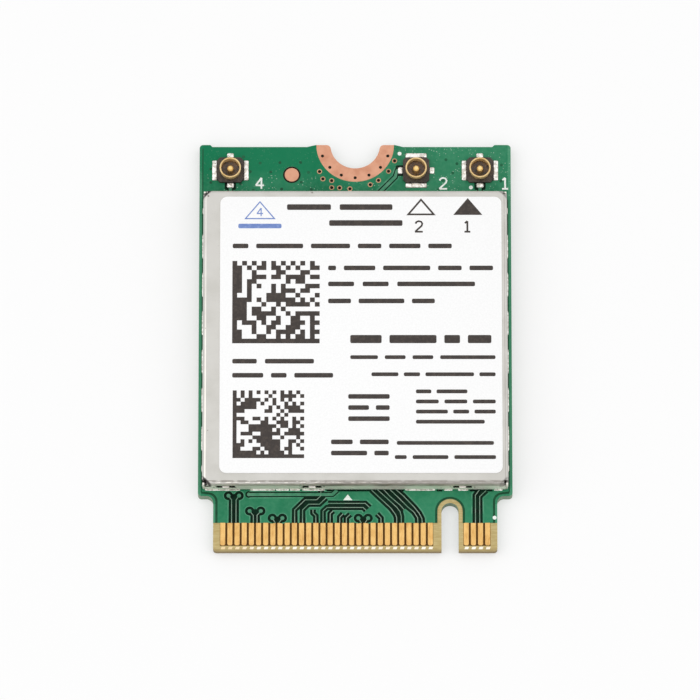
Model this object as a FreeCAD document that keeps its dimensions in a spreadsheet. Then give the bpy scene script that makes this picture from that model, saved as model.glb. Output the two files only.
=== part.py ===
import FreeCAD, Part
import math
import os

import Sketcher
from FreeCAD import Placement, Rotation, Vector

# A plug-in wireless card: circuit board with a keyed contact tongue, two-piece
# shield can, three antenna receptacles and the chips under the shield.
# The origin is the middle of the board's underside, +Y points to the screw notch.

# Driving sizes, in millimetres
SIZES = {
    # circuit board
    "board_width": 22.0,
    "board_length": 30.0,
    "board_thickness": 0.8,
    "mask_thickness": 0.035,
    "copper_thickness": 0.03,
    "board_corner": 0.25,
    "tongue_length": 4.0,
    "shoulder_width": 1.075,
    "tongue_margin": 0.5,
    "shoulder_fillet": 0.5,
    "bevel_length": 0.4,
    "bevel_depth": 0.2,
    "key_width": 1.2,
    "key_depth": 3.5,
    "key_bare_rim": 0.3,
    # routed hollows in the back edge
    "hollow_depth": 0.15,
    "hollow_left_inset": 0.75,
    "hollow_right_inset": 1.15,
    "hollow_notch_inset": 2.8,
    "hollow_notch_slope": 0.6,
    # edge contacts
    "contact_pitch": 0.5,
    "contact_width": 0.35,
    "contact_corner": 0.08,
    "bare_length": 2.04,
    # screw notch and its ground ring
    "screw_radius": 1.75,
    "screw_lip": 0.3,
    "ring_radius": 2.75,
    "ring_via_radius": 0.12,
    "ring_via_circle": 2.45,
    # round alignment mark
    "fiducial_radius": 0.5,
    "fiducial_window": 0.62,
    "fiducial_from_middle": 4.48,
    "fiducial_from_back": 2.23,
    # antenna receptacles
    "receptacle_from_side": 2.18,
    "receptacle_from_back": 1.92,
    "receptacle_ring_gap": 0.265,
    "receptacle_base": 1.85,
    "receptacle_base_height": 0.2,
    "receptacle_corner": 0.2,
    "shell_radius": 0.75,
    "shell_wall": 0.1,
    "shell_height": 0.55,
    "shell_lip": 0.03,
    "groove_depth": 0.04,
    "groove_height": 0.26,
    "pin_radius": 0.21,
    "pin_height": 0.4,
    "pin_tip": 0.08,
    "pad_reach": 0.37,
    "long_pad": 1.5,
    "short_pad": 0.5,
    "solder_rise": 0.05,
    # shield cover
    "shield_side_margin": 0.3,
    "shield_front_margin": 0.45,
    "shield_back_margin": 3.86,
    "shield_height": 1.42,
    "cover_sheet": 0.15,
    "cover_lift": 0.12,
    "cover_bend": 0.25,
    "cover_corner_gap": 0.04,
    "cover_corner_relief": 0.3,
    "cover_relief_depth": 0.3,
    # shield frame
    "frame_fit": 0.02,
    "frame_sheet": 0.15,
    "frame_corner": 0.2,
    "flange_width": 0.9,
    "flange_corner": 0.8,
    "foot_gap_length": 0.75,
    "foot_gap_height": 0.2,
    "foot_gap_pitch": 2.84,
    # snap windows in the cover, dimples on the frame
    "window_length": 1.18,
    "window_height": 0.36,
    "window_rise": 0.72,
    "window_left_inset": 1.66,
    "window_middle_offset": 3.01,
    "window_right_inset": 3.2,
    "window_side_inset": 1.33,
    "dimple_height": 0.12,
    "dimple_clearance": 0.14,
    # label
    "label_side_margin": 0.8,
    "label_shift": 0.4,
    "label_front_margin": 0.78,
    "label_back_margin": 0.52,
    "label_corner": 0.5,
    "label_thickness": 0.08,
    # chips, placed from the middle of the shield or inwards from one of its walls
    "chip_edge": 0.06,
    "chip_mark_radius": 0.18,
    "chip_mark_depth": 0.04,
    "chip_mark_inset": 0.45,
    "radio_width": 8.0,
    "radio_length": 8.0,
    "radio_height": 0.8,
    "radio_x": -1.5,
    "radio_y": 0.5,
    "front_end_width": 3.0,
    "front_end_length": 3.0,
    "front_end_height": 0.6,
    "front_end_left_inset": 4.7,
    "front_end_right_inset": 6.2,
    "front_end_from_back": 2.9,
    "filter_width": 1.6,
    "filter_length": 0.8,
    "filter_height": 0.6,
    "filter_left_x": -2.3,
    "filter_middle_x": 0.9,
    "filter_right_inset": 2.8,
    "filter_from_back": 2.6,
    "crystal_width": 2.5,
    "crystal_length": 2.0,
    "crystal_height": 0.55,
    "crystal_inset": 3.4,
    "crystal_y": 2.7,
    "crystal_rim": 0.2,
    "crystal_lid": 0.15,
    "memory_width": 2.0,
    "memory_length": 3.0,
    "memory_height": 0.55,
    "memory_inset": 3.4,
    "memory_y": -1.7,
    "regulator_width": 3.0,
    "regulator_length": 3.0,
    "regulator_height": 0.75,
    "regulator_inset": 4.1,
    "regulator_from_front": 4.1,
    "inductor_width": 2.5,
    "inductor_length": 2.0,
    "inductor_height": 0.85,
    "inductor_x": 1.9,
    "inductor_from_front": 4.1,
    "inductor_pitch": 3.7,
    "capacitor_width": 0.5,
    "capacitor_body": 0.5,
    "capacitor_cap": 0.25,
    "capacitor_height": 0.5,
    "capacitor_pitch": 1.4,
    "capacitor_gap": 1.0,
}

# Standard places on the contact tongue, in contact pitches from the middle:
# the key, and the contacts next to it on its right and left in each row
KEY_PLACE = 13.25
TOP_BESIDE_KEY = (15.5, 10.5)
BOTTOM_BESIDE_KEY = (16, 11)
ROW_OFFSET = 0.5
# Counts and turns
RING_VIAS = 7
RING_VIA_STEP = 23.5
RING_VIA_SIDES = 8
DIMPLE_SIDES = 6
FOOT_GAPS = 7
CAPACITORS_PER_ROW = 5
INDUCTORS = 2
NEAR = 1e-4
QUARTER_TURN = 90

# Places and levels worked out from the sizes
BOARD_SIDE = "sizes.board_width / 2"
BOARD_FRONT = "-sizes.board_length / 2"
BOARD_BACK = "sizes.board_length / 2"
BOARD_TOP = "sizes.board_thickness"
COPPER_TOP_FLOOR = "sizes.board_thickness - sizes.mask_thickness"
COPPER_BOTTOM_FLOOR = "sizes.mask_thickness"
COPPER_BOTTOM_FACE = "sizes.mask_thickness - sizes.copper_thickness"
SHOULDER = f"{BOARD_FRONT} + sizes.tongue_length"
TONGUE_SIDE = f"{BOARD_SIDE} - sizes.shoulder_width"
CONTACT_ROOM = f"{TONGUE_SIDE} - sizes.tongue_margin - sizes.contact_width / 2"
MASK_EDGE = f"{BOARD_FRONT} + sizes.bare_length"
CONTACT_END = f"{BOARD_FRONT} + sizes.bevel_length"
KEY_X = f"{KEY_PLACE} * sizes.contact_pitch"
KEY_END = f"{BOARD_FRONT} + sizes.key_depth - sizes.key_width / 2"
KEY_RIM_RADIUS = "sizes.key_width / 2 + sizes.key_bare_rim"
FIDUCIAL_X = "-sizes.fiducial_from_middle"
FIDUCIAL_Y = f"{BOARD_BACK} - sizes.fiducial_from_back"
SHIELD_SIDE = f"{BOARD_SIDE} - sizes.shield_side_margin"
SHIELD_FRONT = f"{SHOULDER} + sizes.shield_front_margin"
SHIELD_BACK = f"{BOARD_BACK} - sizes.shield_back_margin"
SHIELD_MIDDLE = f"({SHIELD_FRONT} + {SHIELD_BACK}) / 2"
SHIELD_TOP = f"{BOARD_TOP} + sizes.shield_height"
COVER_FOOT = f"{BOARD_TOP} + sizes.cover_lift"
COVER_CEILING = f"{SHIELD_TOP} - sizes.cover_sheet"
FRAME_SIDE = f"{SHIELD_SIDE} - sizes.cover_sheet - sizes.frame_fit"
FRAME_FRONT = f"{SHIELD_FRONT} + sizes.cover_sheet + sizes.frame_fit"
FRAME_BACK = f"{SHIELD_BACK} - sizes.cover_sheet - sizes.frame_fit"
FRAME_CEILING = f"{COVER_CEILING} - sizes.frame_sheet"
WINDOW_MIDDLE = f"{BOARD_TOP} + sizes.window_rise"
DIMPLE_LENGTH = "sizes.window_length - 2 * sizes.dimple_clearance"
RECEPTACLE_Y = f"{BOARD_BACK} - sizes.receptacle_from_back"
RECEPTACLE_FLOOR = f"{BOARD_TOP} + sizes.receptacle_base_height"
RECEPTACLE_REACH = "(sizes.receptacle_base / 2 + sizes.pad_reach)"
RING_NEIGHBOUR = f"sizes.ring_radius + sizes.receptacle_ring_gap + {RECEPTACLE_REACH}"

# Name, place along the board and whether the receptacle is turned a quarter
RECEPTACLES = {
    "left_antenna": (f"-{BOARD_SIDE} + sizes.receptacle_from_side", False),
    "middle_antenna": (RING_NEIGHBOUR, True),
    "right_antenna": (f"{BOARD_SIDE} - sizes.receptacle_from_side", False),
}

# Window middles along the front and back walls, then along the side walls
LONG_WALL_WINDOWS = (
    f"-({SHIELD_SIDE}) + sizes.window_left_inset",
    "-sizes.window_middle_offset",
    f"{SHIELD_SIDE} - sizes.window_right_inset",
)
SIDE_WALL_WINDOWS = (
    f"{SHIELD_FRONT} + sizes.window_side_inset",
    f"{SHIELD_BACK} - sizes.window_side_inset",
)

doc = FreeCAD.newDocument("wireless_card")
sheet = doc.addObject("Spreadsheet::Sheet", "sizes")


# Sheet and sketch helpers

def fill_sheet():
    """Write every driving size into its own named cell."""
    for row, (alias, size) in enumerate(SIZES.items(), start=1):
        sheet.set(f"A{row}", alias)
        sheet.set(f"B{row}", str(size))
        sheet.setAlias(f"B{row}", alias)
    doc.recompute()


def value(expression):
    """Return the number that an expression over the sheet gives."""
    return float(sheet.evalExpression(expression))


def origin_feature(body, role):
    """Return a body's own origin plane or axis."""
    return next(item for item in body.Origin.OriginFeatures if item.Role == role)


def new_body(label):
    """Start a sub-part under its own label."""
    body = doc.addObject("PartDesign::Body", label)
    body.Label = label
    return body


def new_sketch(body, name, level="0", role="XY_Plane"):
    """Attach a sketch to one of the body's origin planes, raised to a level."""
    sketch = body.newObject("Sketcher::SketchObject", f"{body.Name}_{name}")
    sketch.AttachmentSupport = (origin_feature(body, role), [""])
    sketch.MapMode = "FlatFace"
    sketch.setExpression("AttachmentOffset.Base.z", level)
    return sketch


def constrain(sketch, entries):
    """Add constraints in one go and bind those that carry an expression."""
    indexes = sketch.addConstraint([constraint for constraint, _ in entries])
    for index, (_, expression) in zip(indexes, entries):
        if expression:
            sketch.setExpression(f"Constraints[{index}]", expression)


def pins(geometry, point, place):
    """Constraints that hold a sketch point at a pair of expressions."""
    return [
        (Sketcher.Constraint(kind, -1, 1, geometry, point, value(expression)), expression)
        for kind, expression in zip(("DistanceX", "DistanceY"), place)
    ]


def draw_polygon(sketch, corners):
    """Draw a closed straight-edged outline through pairs of expressions."""
    points = [Vector(value(across), value(along), 0) for across, along in corners]
    first = sketch.GeometryCount
    count = len(points)
    sketch.addGeometry([Part.LineSegment(points[i], points[(i + 1) % count]) for i in range(count)])
    entries = []
    for i, corner in enumerate(corners):
        following = first + (i + 1) % count
        entries.append((Sketcher.Constraint("Coincident", first + i, 2, following, 1), None))
        entries += pins(first + i, 1, corner)
    constrain(sketch, entries)


def draw_circle(sketch, across, along, radius):
    """Draw a circle whose middle and radius are expressions."""
    middle = Vector(value(across), value(along), 0)
    number = sketch.addGeometry(Part.Circle(middle, Vector(0, 0, 1), value(radius)))
    size = (Sketcher.Constraint("Radius", number, value(radius)), radius)
    constrain(sketch, pins(number, 3, (across, along)) + [size])


def rectangle(left, right, front, back):
    """Return the corners of an upright rectangle, anticlockwise from the front left."""
    return [(left, front), (right, front), (right, back), (left, back)]


def centred(middle, size):
    """Return the two ends of a length about its middle."""
    return f"{middle} - {size} / 2", f"{middle} + {size} / 2"


# Feature helpers

def pad(body, sketch, name, length):
    """Extrude a sketch upwards."""
    feature = body.newObject("PartDesign::Pad", f"{body.Name}_{name}")
    feature.Profile = sketch
    feature.setExpression("Length", length)
    doc.recompute()
    return feature


def confirm_cut(body, volume_before, name):
    """Stop when a cutting feature has taken nothing away."""
    if body.Shape.Volume > volume_before - NEAR * NEAR:
        raise RuntimeError(f"{name} cuts nothing from {body.Label}")


def pocket(body, sketch, name, depth):
    """Cut a sketch downwards from its plane."""
    volume_before = body.Shape.Volume
    feature = body.newObject("PartDesign::Pocket", f"{body.Name}_{name}")
    feature.Profile = sketch
    feature.setExpression("Length", depth)
    doc.recompute()
    confirm_cut(body, volume_before, name)
    return feature


def cut_through(body, sketch, name):
    """Cut a sketch right through the body, both ways from its plane."""
    volume_before = body.Shape.Volume
    feature = body.newObject("PartDesign::Pocket", f"{body.Name}_{name}")
    feature.Profile = sketch
    feature.SideType = "Symmetric"
    feature.Type = "ThroughAll"
    doc.recompute()
    confirm_cut(body, volume_before, name)
    return feature


def cut_block(body, name, across, along, upright):
    """Cut a block given by its ends along X, Y and Z."""
    volume_before = body.Shape.Volume
    block = body.newObject("PartDesign::SubtractiveBox", f"{body.Name}_{name}")
    for size, axis, (low, high) in zip(("Length", "Width", "Height"), "xyz", (across, along, upright)):
        block.setExpression(size, f"{high} - ({low})")
        block.setExpression(f"Placement.Base.{axis}", low)
    doc.recompute()
    confirm_cut(body, volume_before, name)
    return block


def cut_cylinder(body, name, middle, radius, upright):
    """Cut an upright cylinder given by its axis, radius and ends."""
    volume_before = body.Shape.Volume
    low, high = upright
    cylinder = body.newObject("PartDesign::SubtractiveCylinder", f"{body.Name}_{name}")
    cylinder.setExpression("Radius", radius)
    cylinder.setExpression("Height", f"{high} - ({low})")
    for axis, place in zip("xyz", (*middle, low)):
        cylinder.setExpression(f"Placement.Base.{axis}", place)
    doc.recompute()
    confirm_cut(body, volume_before, name)
    return cylinder


def repeat(body, name, feature, role, spacing, count):
    """Repeat a feature in a row along one of the body's axes."""
    pattern = body.newObject("PartDesign::LinearPattern", f"{body.Name}_{name}")
    pattern.Originals = [feature]
    pattern.Direction = (origin_feature(body, role), [""])
    pattern.Mode = "Spacing"
    pattern.setExpression("Offset", spacing)
    pattern.Occurrences = count
    body.Tip = pattern
    doc.recompute()
    return pattern


def upright_edges(feature, places):
    """Names of the upright edges that stand at the given pairs of expressions."""
    targets = [(value(across), value(along)) for across, along in places]
    names = []
    for number, edge in enumerate(feature.Shape.Edges, start=1):
        box = edge.BoundBox
        slim = box.XLength < NEAR and box.YLength < NEAR
        if slim and any(math.dist((box.XMin, box.YMin), target) < NEAR for target in targets):
            names.append(f"Edge{number}")
    return names


def level_edges(feature, level):
    """Names of the edges that lie flat at a level."""
    height = value(level)
    return [
        f"Edge{number}"
        for number, edge in enumerate(feature.Shape.Edges, start=1)
        if abs(edge.BoundBox.ZMin - height) < NEAR and abs(edge.BoundBox.ZMax - height) < NEAR
    ]


def dress(body, kind, name, base, edges, size_name, size):
    """Round or bevel named edges of the last feature."""
    feature = body.newObject(f"PartDesign::{kind}", f"{body.Name}_{name}")
    feature.Base = (base, edges)
    feature.setExpression(size_name, size)
    doc.recompute()
    return feature


def fillet(body, name, base, edges, radius):
    """Round named edges."""
    return dress(body, "Fillet", name, base, edges, "Radius", radius)


def chamfer(body, name, base, edges, size):
    """Bevel named edges."""
    return dress(body, "Chamfer", name, base, edges, "Size", size)


def revolve(body, corners):
    """Turn an outline of (radius, height) expressions about the body's Z axis."""
    sketch = new_sketch(body, "section", role="XZ_Plane")
    draw_polygon(sketch, corners)
    feature = body.newObject("PartDesign::Revolution", f"{body.Name}_turning")
    feature.Profile = sketch
    feature.ReferenceAxis = (sketch, ["V_Axis"])
    doc.recompute()
    return feature


def place_body(body, across, along, level):
    """Bind a finished body's place to expressions."""
    for axis, place in zip("xyz", (across, along, level)):
        body.setExpression(f"Placement.Base.{axis}", place)


# Circuit board

def board_outline():
    """Corners of the board, anticlockwise from the front left of the tongue."""
    hollow = f"{BOARD_BACK} - sizes.hollow_depth"
    inner = "sizes.hollow_notch_inset"
    halves = []
    for side in ("right", "left"):
        outer = f"{BOARD_SIDE} - sizes.hollow_{side}_inset"
        halves.append([
            (TONGUE_SIDE, BOARD_FRONT),
            (TONGUE_SIDE, SHOULDER),
            (BOARD_SIDE, SHOULDER),
            (BOARD_SIDE, BOARD_BACK),
            (outer, BOARD_BACK),
            (f"{outer} - sizes.hollow_depth", hollow),
            (f"{inner} + sizes.hollow_notch_slope", hollow),
            (inner, BOARD_BACK),
        ])
    right, left = halves
    return right + [(f"-({across})", along) for across, along in reversed(left)]


def receptacle_pads(middle, turned):
    """Outlines of the four solder pads round a receptacle."""
    near = "sizes.receptacle_base / 2"
    outlines = []
    for side in ("-", "+"):
        ends = sorted((f"{side} {near}", f"{side} {RECEPTACLE_REACH}"), key=value)
        for across_board, length in ((not turned, "sizes.long_pad"), (turned, "sizes.short_pad")):
            away = [f"{middle if across_board else RECEPTACLE_Y} {end}" for end in ends]
            spread = centred(RECEPTACLE_Y if across_board else middle, length)
            outlines.append(rectangle(*away, *spread) if across_board else rectangle(*spread, *away))
    return outlines


def make_circuit_board():
    """Laminate with its mask: outline, key slot, screw notch and the bare windows for the copper."""
    body = new_body("circuit_board")
    outline = new_sketch(body, "outline")
    draw_polygon(outline, board_outline())
    slab = pad(body, outline, "slab", BOARD_TOP)
    shoulders = [(f"{side}({TONGUE_SIDE})", SHOULDER) for side in ("-", "+")]
    slab = fillet(body, "shoulders", slab, upright_edges(slab, shoulders), "sizes.shoulder_fillet")
    corners = [(f"{side}({TONGUE_SIDE})", BOARD_FRONT) for side in ("-", "+")]
    corners += [(f"{side}{BOARD_SIDE}", along) for side in ("-", "+") for along in (SHOULDER, BOARD_BACK)]
    fillet(body, "corners", slab, upright_edges(slab, corners), "sizes.board_corner")

    full = ("0", BOARD_TOP)
    key = centred(KEY_X, "sizes.key_width")
    cut_block(body, "key_sides", key, (BOARD_FRONT, KEY_END), full)
    cut_cylinder(body, "key_end", (KEY_X, KEY_END), "sizes.key_width / 2", full)
    notch = cut_cylinder(body, "screw_notch", ("0", BOARD_BACK), "sizes.screw_radius", full)
    lips = [(f"{side}sizes.screw_radius", BOARD_BACK) for side in ("-", "+")]
    fillet(body, "notch_lips", notch, upright_edges(notch, lips), "sizes.screw_lip")

    key_rim = centred(KEY_X, f"2 * ({KEY_RIM_RADIUS})")
    for face, skin in (("top", (COPPER_TOP_FLOOR, BOARD_TOP)), ("bottom", ("0", COPPER_BOTTOM_FLOOR))):
        cut_cylinder(body, f"{face}_ring_window", ("0", BOARD_BACK), "sizes.ring_radius", skin)
        across_tongue = (f"-{BOARD_SIDE}", BOARD_SIDE)
        cut_block(body, f"{face}_contact_window", across_tongue, (BOARD_FRONT, MASK_EDGE), skin)
        cut_block(body, f"{face}_key_rim", key_rim, (BOARD_FRONT, KEY_END), skin)
        cut_cylinder(body, f"{face}_key_rim_end", (KEY_X, KEY_END), KEY_RIM_RADIUS, skin)

    windows = new_sketch(body, "windows", BOARD_TOP)
    draw_circle(windows, FIDUCIAL_X, FIDUCIAL_Y, "sizes.fiducial_window")
    for middle, turned in RECEPTACLES.values():
        for outline in receptacle_pads(middle, turned):
            draw_polygon(windows, outline)
    pocket(body, windows, "pad_windows", "sizes.mask_thickness")

    bevels = new_sketch(body, "bevels", role="YZ_Plane")
    draw_polygon(bevels, [(BOARD_FRONT, "0"), (CONTACT_END, "0"), (BOARD_FRONT, "sizes.bevel_depth")])
    low_top = f"{BOARD_TOP} - sizes.bevel_depth"
    draw_polygon(bevels, [(BOARD_FRONT, low_top), (CONTACT_END, BOARD_TOP), (BOARD_FRONT, BOARD_TOP)])
    cut_through(body, bevels, "bevel_cuts")
    return body


# Copper on the board

def contact_outline(place):
    """One contact, square under the mask edge and cut at its free corners."""
    left, right = centred(f"{place} * sizes.contact_pitch", "sizes.contact_width")
    corner = "sizes.contact_corner"
    return [
        (f"{left} + {corner}", CONTACT_END),
        (f"{right} - {corner}", CONTACT_END),
        (right, f"{CONTACT_END} + {corner}"),
        (right, MASK_EDGE),
        (left, MASK_EDGE),
        (left, f"{CONTACT_END} + {corner}"),
    ]


def outer_contact(offset):
    """Outermost place, in pitches, that the tongue has room for in a row with this offset."""
    return math.floor(value(f"({CONTACT_ROOM}) / sizes.contact_pitch") - offset + NEAR) + offset


def contact_runs(outer, beside_key):
    """Rightmost place and count of the contacts right and left of the key."""
    right_of_key, left_of_key = beside_key
    runs = [(outer, outer - right_of_key + 1), (left_of_key, left_of_key + outer + 1)]
    return [(start, int(count)) for start, count in runs if count >= 1]


def make_edge_contacts(label, level, outer, beside_key):
    """Gold contacts of one face, each run patterned from its rightmost contact."""
    body = new_body(label)
    for number, (start, count) in enumerate(contact_runs(outer, beside_key)):
        sketch = new_sketch(body, f"contact_{number}", level)
        draw_polygon(sketch, contact_outline(start))
        contact = pad(body, sketch, f"contact_{number}_pad", "sizes.copper_thickness")
        repeat(body, f"row_{number}", contact, "X_Axis", "sizes.contact_pitch", count).Reversed = True
    doc.recompute()
    return body


def make_ground_ring(label, level):
    """Bare copper round the screw notch, with its ring of plated holes."""
    body = new_body(label)
    sketch = new_sketch(body, "outline")
    draw_circle(sketch, "0", "0", "sizes.ring_radius")
    pad(body, sketch, "disc", "sizes.copper_thickness")
    skin = ("0", "sizes.copper_thickness")
    behind = ("0", "sizes.ring_radius")
    cut_block(body, "board_edge", ("-sizes.ring_radius", "sizes.ring_radius"), behind, skin)
    notch = cut_cylinder(body, "notch", ("0", "0"), "sizes.screw_radius", skin)
    lips = [(f"{side}sizes.screw_radius", "0") for side in ("-", "+")]
    fillet(body, "notch_lips", notch, upright_edges(notch, lips), "sizes.screw_lip")
    first_angle = math.radians(-QUARTER_TURN - RING_VIA_STEP * (RING_VIAS - 1) / 2)
    middle = [f"sizes.ring_via_circle * {turn(first_angle):.6f}" for turn in (math.cos, math.sin)]
    via = body.newObject("PartDesign::SubtractivePrism", f"{label}_via")
    via.Polygon = RING_VIA_SIDES
    via.setExpression("Circumradius", "sizes.ring_via_radius")
    via.setExpression("Height", "sizes.copper_thickness")
    for axis, place in zip("xy", middle):
        via.setExpression(f"Placement.Base.{axis}", place)
    doc.recompute()
    pattern = body.newObject("PartDesign::PolarPattern", f"{label}_vias")
    pattern.Originals = [via]
    pattern.Axis = (origin_feature(body, "Z_Axis"), [""])
    pattern.Mode = "Spacing"
    pattern.Offset = RING_VIA_STEP
    pattern.Occurrences = RING_VIAS
    body.Tip = pattern
    place_body(body, "0", BOARD_BACK, level)
    doc.recompute()
    return body


def make_fiducial():
    """Round copper alignment mark in its mask window."""
    body = new_body("fiducial_mark")
    sketch = new_sketch(body, "outline", COPPER_TOP_FLOOR)
    draw_circle(sketch, FIDUCIAL_X, FIDUCIAL_Y, "sizes.fiducial_radius")
    pad(body, sketch, "disc", "sizes.copper_thickness")
    return body


# Antenna receptacles

def make_receptacle(name, middle, turned):
    """Base, grounding shell, centre pin and solder pads of one receptacle."""
    base = new_body(f"{name}_base")
    sketch = new_sketch(base, "outline", BOARD_TOP)
    across = centred(middle, "sizes.receptacle_base")
    along = centred(RECEPTACLE_Y, "sizes.receptacle_base")
    outline = rectangle(*across, *along)
    draw_polygon(sketch, outline)
    block = pad(base, sketch, "block", "sizes.receptacle_base_height")
    chamfer(base, "corners", block, upright_edges(block, outline), "sizes.receptacle_corner")

    shell = new_body(f"{name}_shell")
    outer = "sizes.shell_radius"
    inner = "sizes.shell_radius - sizes.shell_wall"
    top = "sizes.shell_height"
    waist = f"{outer} - sizes.groove_depth"
    revolve(shell, [
        (inner, "0"),
        (waist, "0"),
        (outer, "sizes.groove_height"),
        (outer, f"{top} - sizes.shell_lip"),
        (f"{outer} - sizes.shell_lip", top),
        (f"{inner} + sizes.shell_lip", top),
        (inner, f"{top} - sizes.shell_lip"),
    ])
    place_body(shell, middle, RECEPTACLE_Y, RECEPTACLE_FLOOR)

    pin = new_body(f"{name}_pin")
    revolve(pin, [
        ("0", "0"),
        ("sizes.pin_radius", "0"),
        ("sizes.pin_radius", "sizes.pin_height - sizes.pin_tip"),
        ("sizes.pin_radius - sizes.pin_tip", "sizes.pin_height"),
        ("0", "sizes.pin_height"),
    ])
    place_body(pin, middle, RECEPTACLE_Y, RECEPTACLE_FLOOR)

    pads = new_body(f"{name}_solder_pads")
    sketch = new_sketch(pads, "outlines", COPPER_TOP_FLOOR)
    for outline in receptacle_pads(middle, turned):
        draw_polygon(sketch, outline)
    pad(pads, sketch, "tinned", "sizes.mask_thickness + sizes.solder_rise")
    return [base, shell, pin, pads]


# Shield and label

def corner_squares(size):
    """Outlines of a square in each corner of the cover."""
    across = (
        (f"-({SHIELD_SIDE})", f"-({SHIELD_SIDE}) + {size}"),
        (f"{SHIELD_SIDE} - {size}", SHIELD_SIDE),
    )
    along = (
        (SHIELD_FRONT, f"{SHIELD_FRONT} + {size}"),
        (f"{SHIELD_BACK} - {size}", SHIELD_BACK),
    )
    return [rectangle(*ends, *sides) for ends in across for sides in along]


def make_shield_cover():
    """Cover folded from sheet: flaps that stop short of each other, bend reliefs and snap windows."""
    body = new_body("shield_cover")
    sketch = new_sketch(body, "outline", COVER_FOOT)
    outline = rectangle(f"-({SHIELD_SIDE})", SHIELD_SIDE, SHIELD_FRONT, SHIELD_BACK)
    draw_polygon(sketch, outline)
    pad(body, sketch, "block", f"{SHIELD_TOP} - ({COVER_FOOT})")
    sheet_in = "sizes.cover_sheet"
    relief = "sizes.cover_corner_relief"
    openings = new_sketch(body, "corner_openings", SHIELD_TOP)
    reliefs = new_sketch(body, "bend_reliefs", SHIELD_TOP)
    slot = f"({sheet_in} + sizes.cover_corner_gap)"
    for sketch, size in ((openings, slot), (reliefs, relief)):
        for square in corner_squares(size):
            draw_polygon(sketch, square)
    cut_through(body, openings, "corner_slots")
    blank = pocket(body, reliefs, "bend_notches", "sizes.cover_relief_depth")
    folds = [
        name for name in level_edges(blank, SHIELD_TOP)
        if blank.Shape.getElement(name).Length > 2 * value(relief)
    ]
    fillet(body, "folds", blank, folds, "sizes.cover_bend")
    across = (f"-({SHIELD_SIDE}) + {sheet_in}", f"{SHIELD_SIDE} - {sheet_in}")
    along = (f"{SHIELD_FRONT} + {sheet_in}", f"{SHIELD_BACK} - {sheet_in}")
    cut_block(body, "inside", across, along, (COVER_FOOT, COVER_CEILING))
    upright = centred(WINDOW_MIDDLE, "sizes.window_height")
    for number, middle in enumerate(LONG_WALL_WINDOWS):
        across = centred(middle, "sizes.window_length")
        cut_block(body, f"long_wall_window_{number}", across, (SHIELD_FRONT, SHIELD_BACK), upright)
    for number, middle in enumerate(SIDE_WALL_WINDOWS):
        along = centred(middle, "sizes.window_length")
        cut_block(body, f"side_wall_window_{number}", (f"-({SHIELD_SIDE})", SHIELD_SIDE), along, upright)
    return body


def add_dimple(body, name, turn_axis, angle, start):
    """Pressed rib on the frame's outer face, lying along the wall."""
    rib = body.newObject("PartDesign::AdditivePrism", f"{body.Name}_{name}")
    rib.Polygon = DIMPLE_SIDES
    rib.Placement = Placement(Vector(), Rotation(turn_axis, angle))
    rib.setExpression("Circumradius", "sizes.dimple_height")
    rib.setExpression("Height", DIMPLE_LENGTH)
    for axis, place in zip("xyz", start):
        rib.setExpression(f"Placement.Base.{axis}", place)
    doc.recompute()


def make_shield_frame():
    """Soldered frame: walls with a gapped foot, an inward flange and snap dimples."""
    body = new_body("shield_frame")
    sketch = new_sketch(body, "outline", BOARD_TOP)
    outline = rectangle(f"-({FRAME_SIDE})", FRAME_SIDE, FRAME_FRONT, FRAME_BACK)
    draw_polygon(sketch, outline)
    block = pad(body, sketch, "block", f"{COVER_CEILING} - {BOARD_TOP}")
    fillet(body, "corners", block, upright_edges(block, outline), "sizes.frame_corner")
    walls = "sizes.frame_sheet"
    across = (f"-({FRAME_SIDE}) + {walls}", f"{FRAME_SIDE} - {walls}")
    along = (f"{FRAME_FRONT} + {walls}", f"{FRAME_BACK} - {walls}")
    cavity = new_sketch(body, "cavity", FRAME_CEILING)
    inside = rectangle(*across, *along)
    draw_polygon(cavity, inside)
    hollow = pocket(body, cavity, "hollow", f"{FRAME_CEILING} - {BOARD_TOP}")
    inner_corner = f"sizes.frame_corner - {walls}"
    fillet(body, "hollow_corners", hollow, upright_edges(hollow, inside), inner_corner)
    flange = "sizes.flange_width"
    opening = new_sketch(body, "opening", COVER_CEILING)
    mouth = rectangle(
        f"{outline[0][0]} + {flange}", f"{FRAME_SIDE} - {flange}",
        f"{FRAME_FRONT} + {flange}", f"{FRAME_BACK} - {flange}")
    draw_polygon(opening, mouth)
    hole = pocket(body, opening, "mouth", walls)
    fillet(body, "mouth_corners", hole, upright_edges(hole, mouth), "sizes.flange_corner")

    gap = "sizes.foot_gap_length"
    foot = (BOARD_TOP, f"{BOARD_TOP} + sizes.foot_gap_height")
    reach = f"{(FOOT_GAPS - 1) / 2} * sizes.foot_gap_pitch"
    gaps = cut_block(body, "side_gap", (f"-({FRAME_SIDE})", FRAME_SIDE),
                     centred(f"{SHIELD_MIDDLE} - {reach}", gap), foot)
    repeat(body, "side_gaps", gaps, "Y_Axis", "sizes.foot_gap_pitch", FOOT_GAPS)
    gaps = cut_block(body, "end_gap", centred(f"-{reach}", gap), (FRAME_FRONT, FRAME_BACK), foot)
    repeat(body, "end_gaps", gaps, "X_Axis", "sizes.foot_gap_pitch", FOOT_GAPS)

    for number, middle in enumerate(LONG_WALL_WINDOWS):
        start = f"{middle} - ({DIMPLE_LENGTH}) / 2"
        for wall, along in (("front", FRAME_FRONT), ("back", FRAME_BACK)):
            add_dimple(body, f"{wall}_dimple_{number}", Vector(0, 1, 0), QUARTER_TURN,
                       (start, along, WINDOW_MIDDLE))
    for number, middle in enumerate(SIDE_WALL_WINDOWS):
        start = f"{middle} - ({DIMPLE_LENGTH}) / 2"
        for wall, across in (("left", f"-({FRAME_SIDE})"), ("right", FRAME_SIDE)):
            add_dimple(body, f"{wall}_dimple_{number}", Vector(1, 0, 0), -QUARTER_TURN,
                       (across, start, WINDOW_MIDDLE))
    return body


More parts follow.
